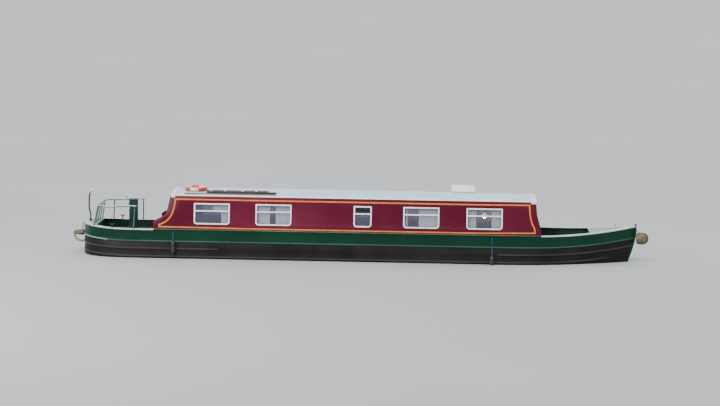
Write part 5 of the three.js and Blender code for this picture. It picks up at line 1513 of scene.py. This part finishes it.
# %% Hang the curtains
PARTED = [(0, 0.52, 0.965, 6, 0.24), (1, 0.045, 0.40, 5, None), (1, 0.56, 0.955, 6, None)]
PARTED += [(3, 0.04, 0.13, 2, None), (3, 0.43, 0.955, 7, None), (4, 0.045, 0.27, 6, None)]
PARTED += [(4, 0.70, 0.955, 6, None)]
DRAWN = [(2, 0.05, 0.95, 5, None)]
for index in (0, 1, 3, 4):
    DRAWN += [(index, 0.03, 0.498, 6, None), (index, 0.502, 0.97, 6, None)]
hung = {"starboard": [], "port": []}
for side, panels in (("starboard", PARTED), ("port", DRAWN)):
    for number, (index, start, end, pleats, tied) in enumerate(panels, 1):
        middle, wide = WINDOWS[index]
        left = middle - wide / 2
        pull = tied * wide if tied else None
        cloth, cut = curtain(f"curtain_{side}_{number}", left + start * wide, left + end * wide, pleats, pull)
        put_inside(cloth, side)
        finished(cloth, net_curtain, "hull", "lace")
        hung[side].append((cloth, cut, tied))
        print(cloth.name, "cut", round(cut, 3), "m wide")

# %% [markdown]
# One sheathed wire is stretched along each side, through the cloth's top edges.

# %% Stretch the curtain wires
WIRE_FROM, WIRE_TO = -4.345, 3.755
WIRE_RADIUS = 0.003
for side, panels in hung.items():
    wire_line = [(x, CLOTH_DEPTH, WIRE + 0.002) for x in (WIRE_FROM, 0, WIRE_TO)]
    wire = tube(f"curtain_wire_{side}", wire_line, WIRE_RADIUS, white, 8)
    put_inside(wire, side)
    finished(wire, None, "hull", "lace", f"curtains_{side}")
print("curtains hung:", sum(len(panels) for panels in hung.values()))

# %% [markdown]
# ## Cabin lamp
#
# A lamp is lit inside the fore cabin and shows through the last window as a bright spot. It is a brass tube
# from the ceiling, a white glass shade and a round bulb. Shade and tube are turned. The bulb is a sphere
# that gives light, so it also warms the cabin round it, as the picture shows.

# %% Hang the cabin lamp
LAMP_AT = (3.215, -0.25, 1.605)
BULB_STRENGTH, SHADE_STRENGTH = 110, 1.1
BULB_RADIUS, BULB_UP, BULB_STEPS = 0.045, 0.035, 14
bulb_glow, tree, shader = new_finish("lamp_bulb_glow")
filled(shader, Base_Color=linear(255, 236, 206), Emission_Color=linear(255, 226, 184))
filled(shader, Emission_Strength=BULB_STRENGTH)
# The white glass shade glows faintly too: painted light for the bulb's light coming through the glass.
opal_glow = bulb_glow.copy()
opal_glow.name = "opal_shade_glow"
filled(opal_glow.node_tree.nodes["Principled BSDF"], Emission_Strength=SHADE_STRENGTH)
shade_side = [(0.022, 0.135), (0.03, 0.13), (0.055, 0.1), (0.085, 0.055), (0.1, 0.022), (0.098, 0.0205)]
shade_side += [(0.083, 0.052), (0.053, 0.097), (0.028, 0.127), (0.022, 0.131), (0.022, 0.135)]
shade = turned("lamp_shade", shade_side, LAMP_AT, steps=36)
ceiling_at = camber_at(LAMP_AT[1]) - ROOF_THICK
stem_long = ceiling_at - LAMP_AT[2]
stem_side = [(0.0, 0.075), (0.018, 0.075), (0.022, 0.085), (0.022, 0.14), (0.007, 0.146)]
stem_side += [(0.007, stem_long - 0.03), (0.04, stem_long - 0.024), (0.045, stem_long - 0.01)]
stem_side += [(0.045, stem_long - 0.004), (0.0, stem_long - 0.004)]
stem = turned("lamp_stem", stem_side, LAMP_AT, steps=28)
bulb_side = [(0.0, BULB_UP - BULB_RADIUS)]
for i in range(1, BULB_STEPS):
    turn = math.pi * i / BULB_STEPS
    bulb_side.append((BULB_RADIUS * math.sin(turn), BULB_UP - BULB_RADIUS * math.cos(turn)))
bulb_side.append((0.0, BULB_UP + BULB_RADIUS))
bulb = turned("lamp_bulb", bulb_side, LAMP_AT, steps=28)
for piece, finish in ((shade, opal_glow), (stem, brass), (bulb, bulb_glow)):
    finished(piece, finish, "hull", "frame_white")
print("lamp hangs", round(stem_long, 3), "m under the ceiling")
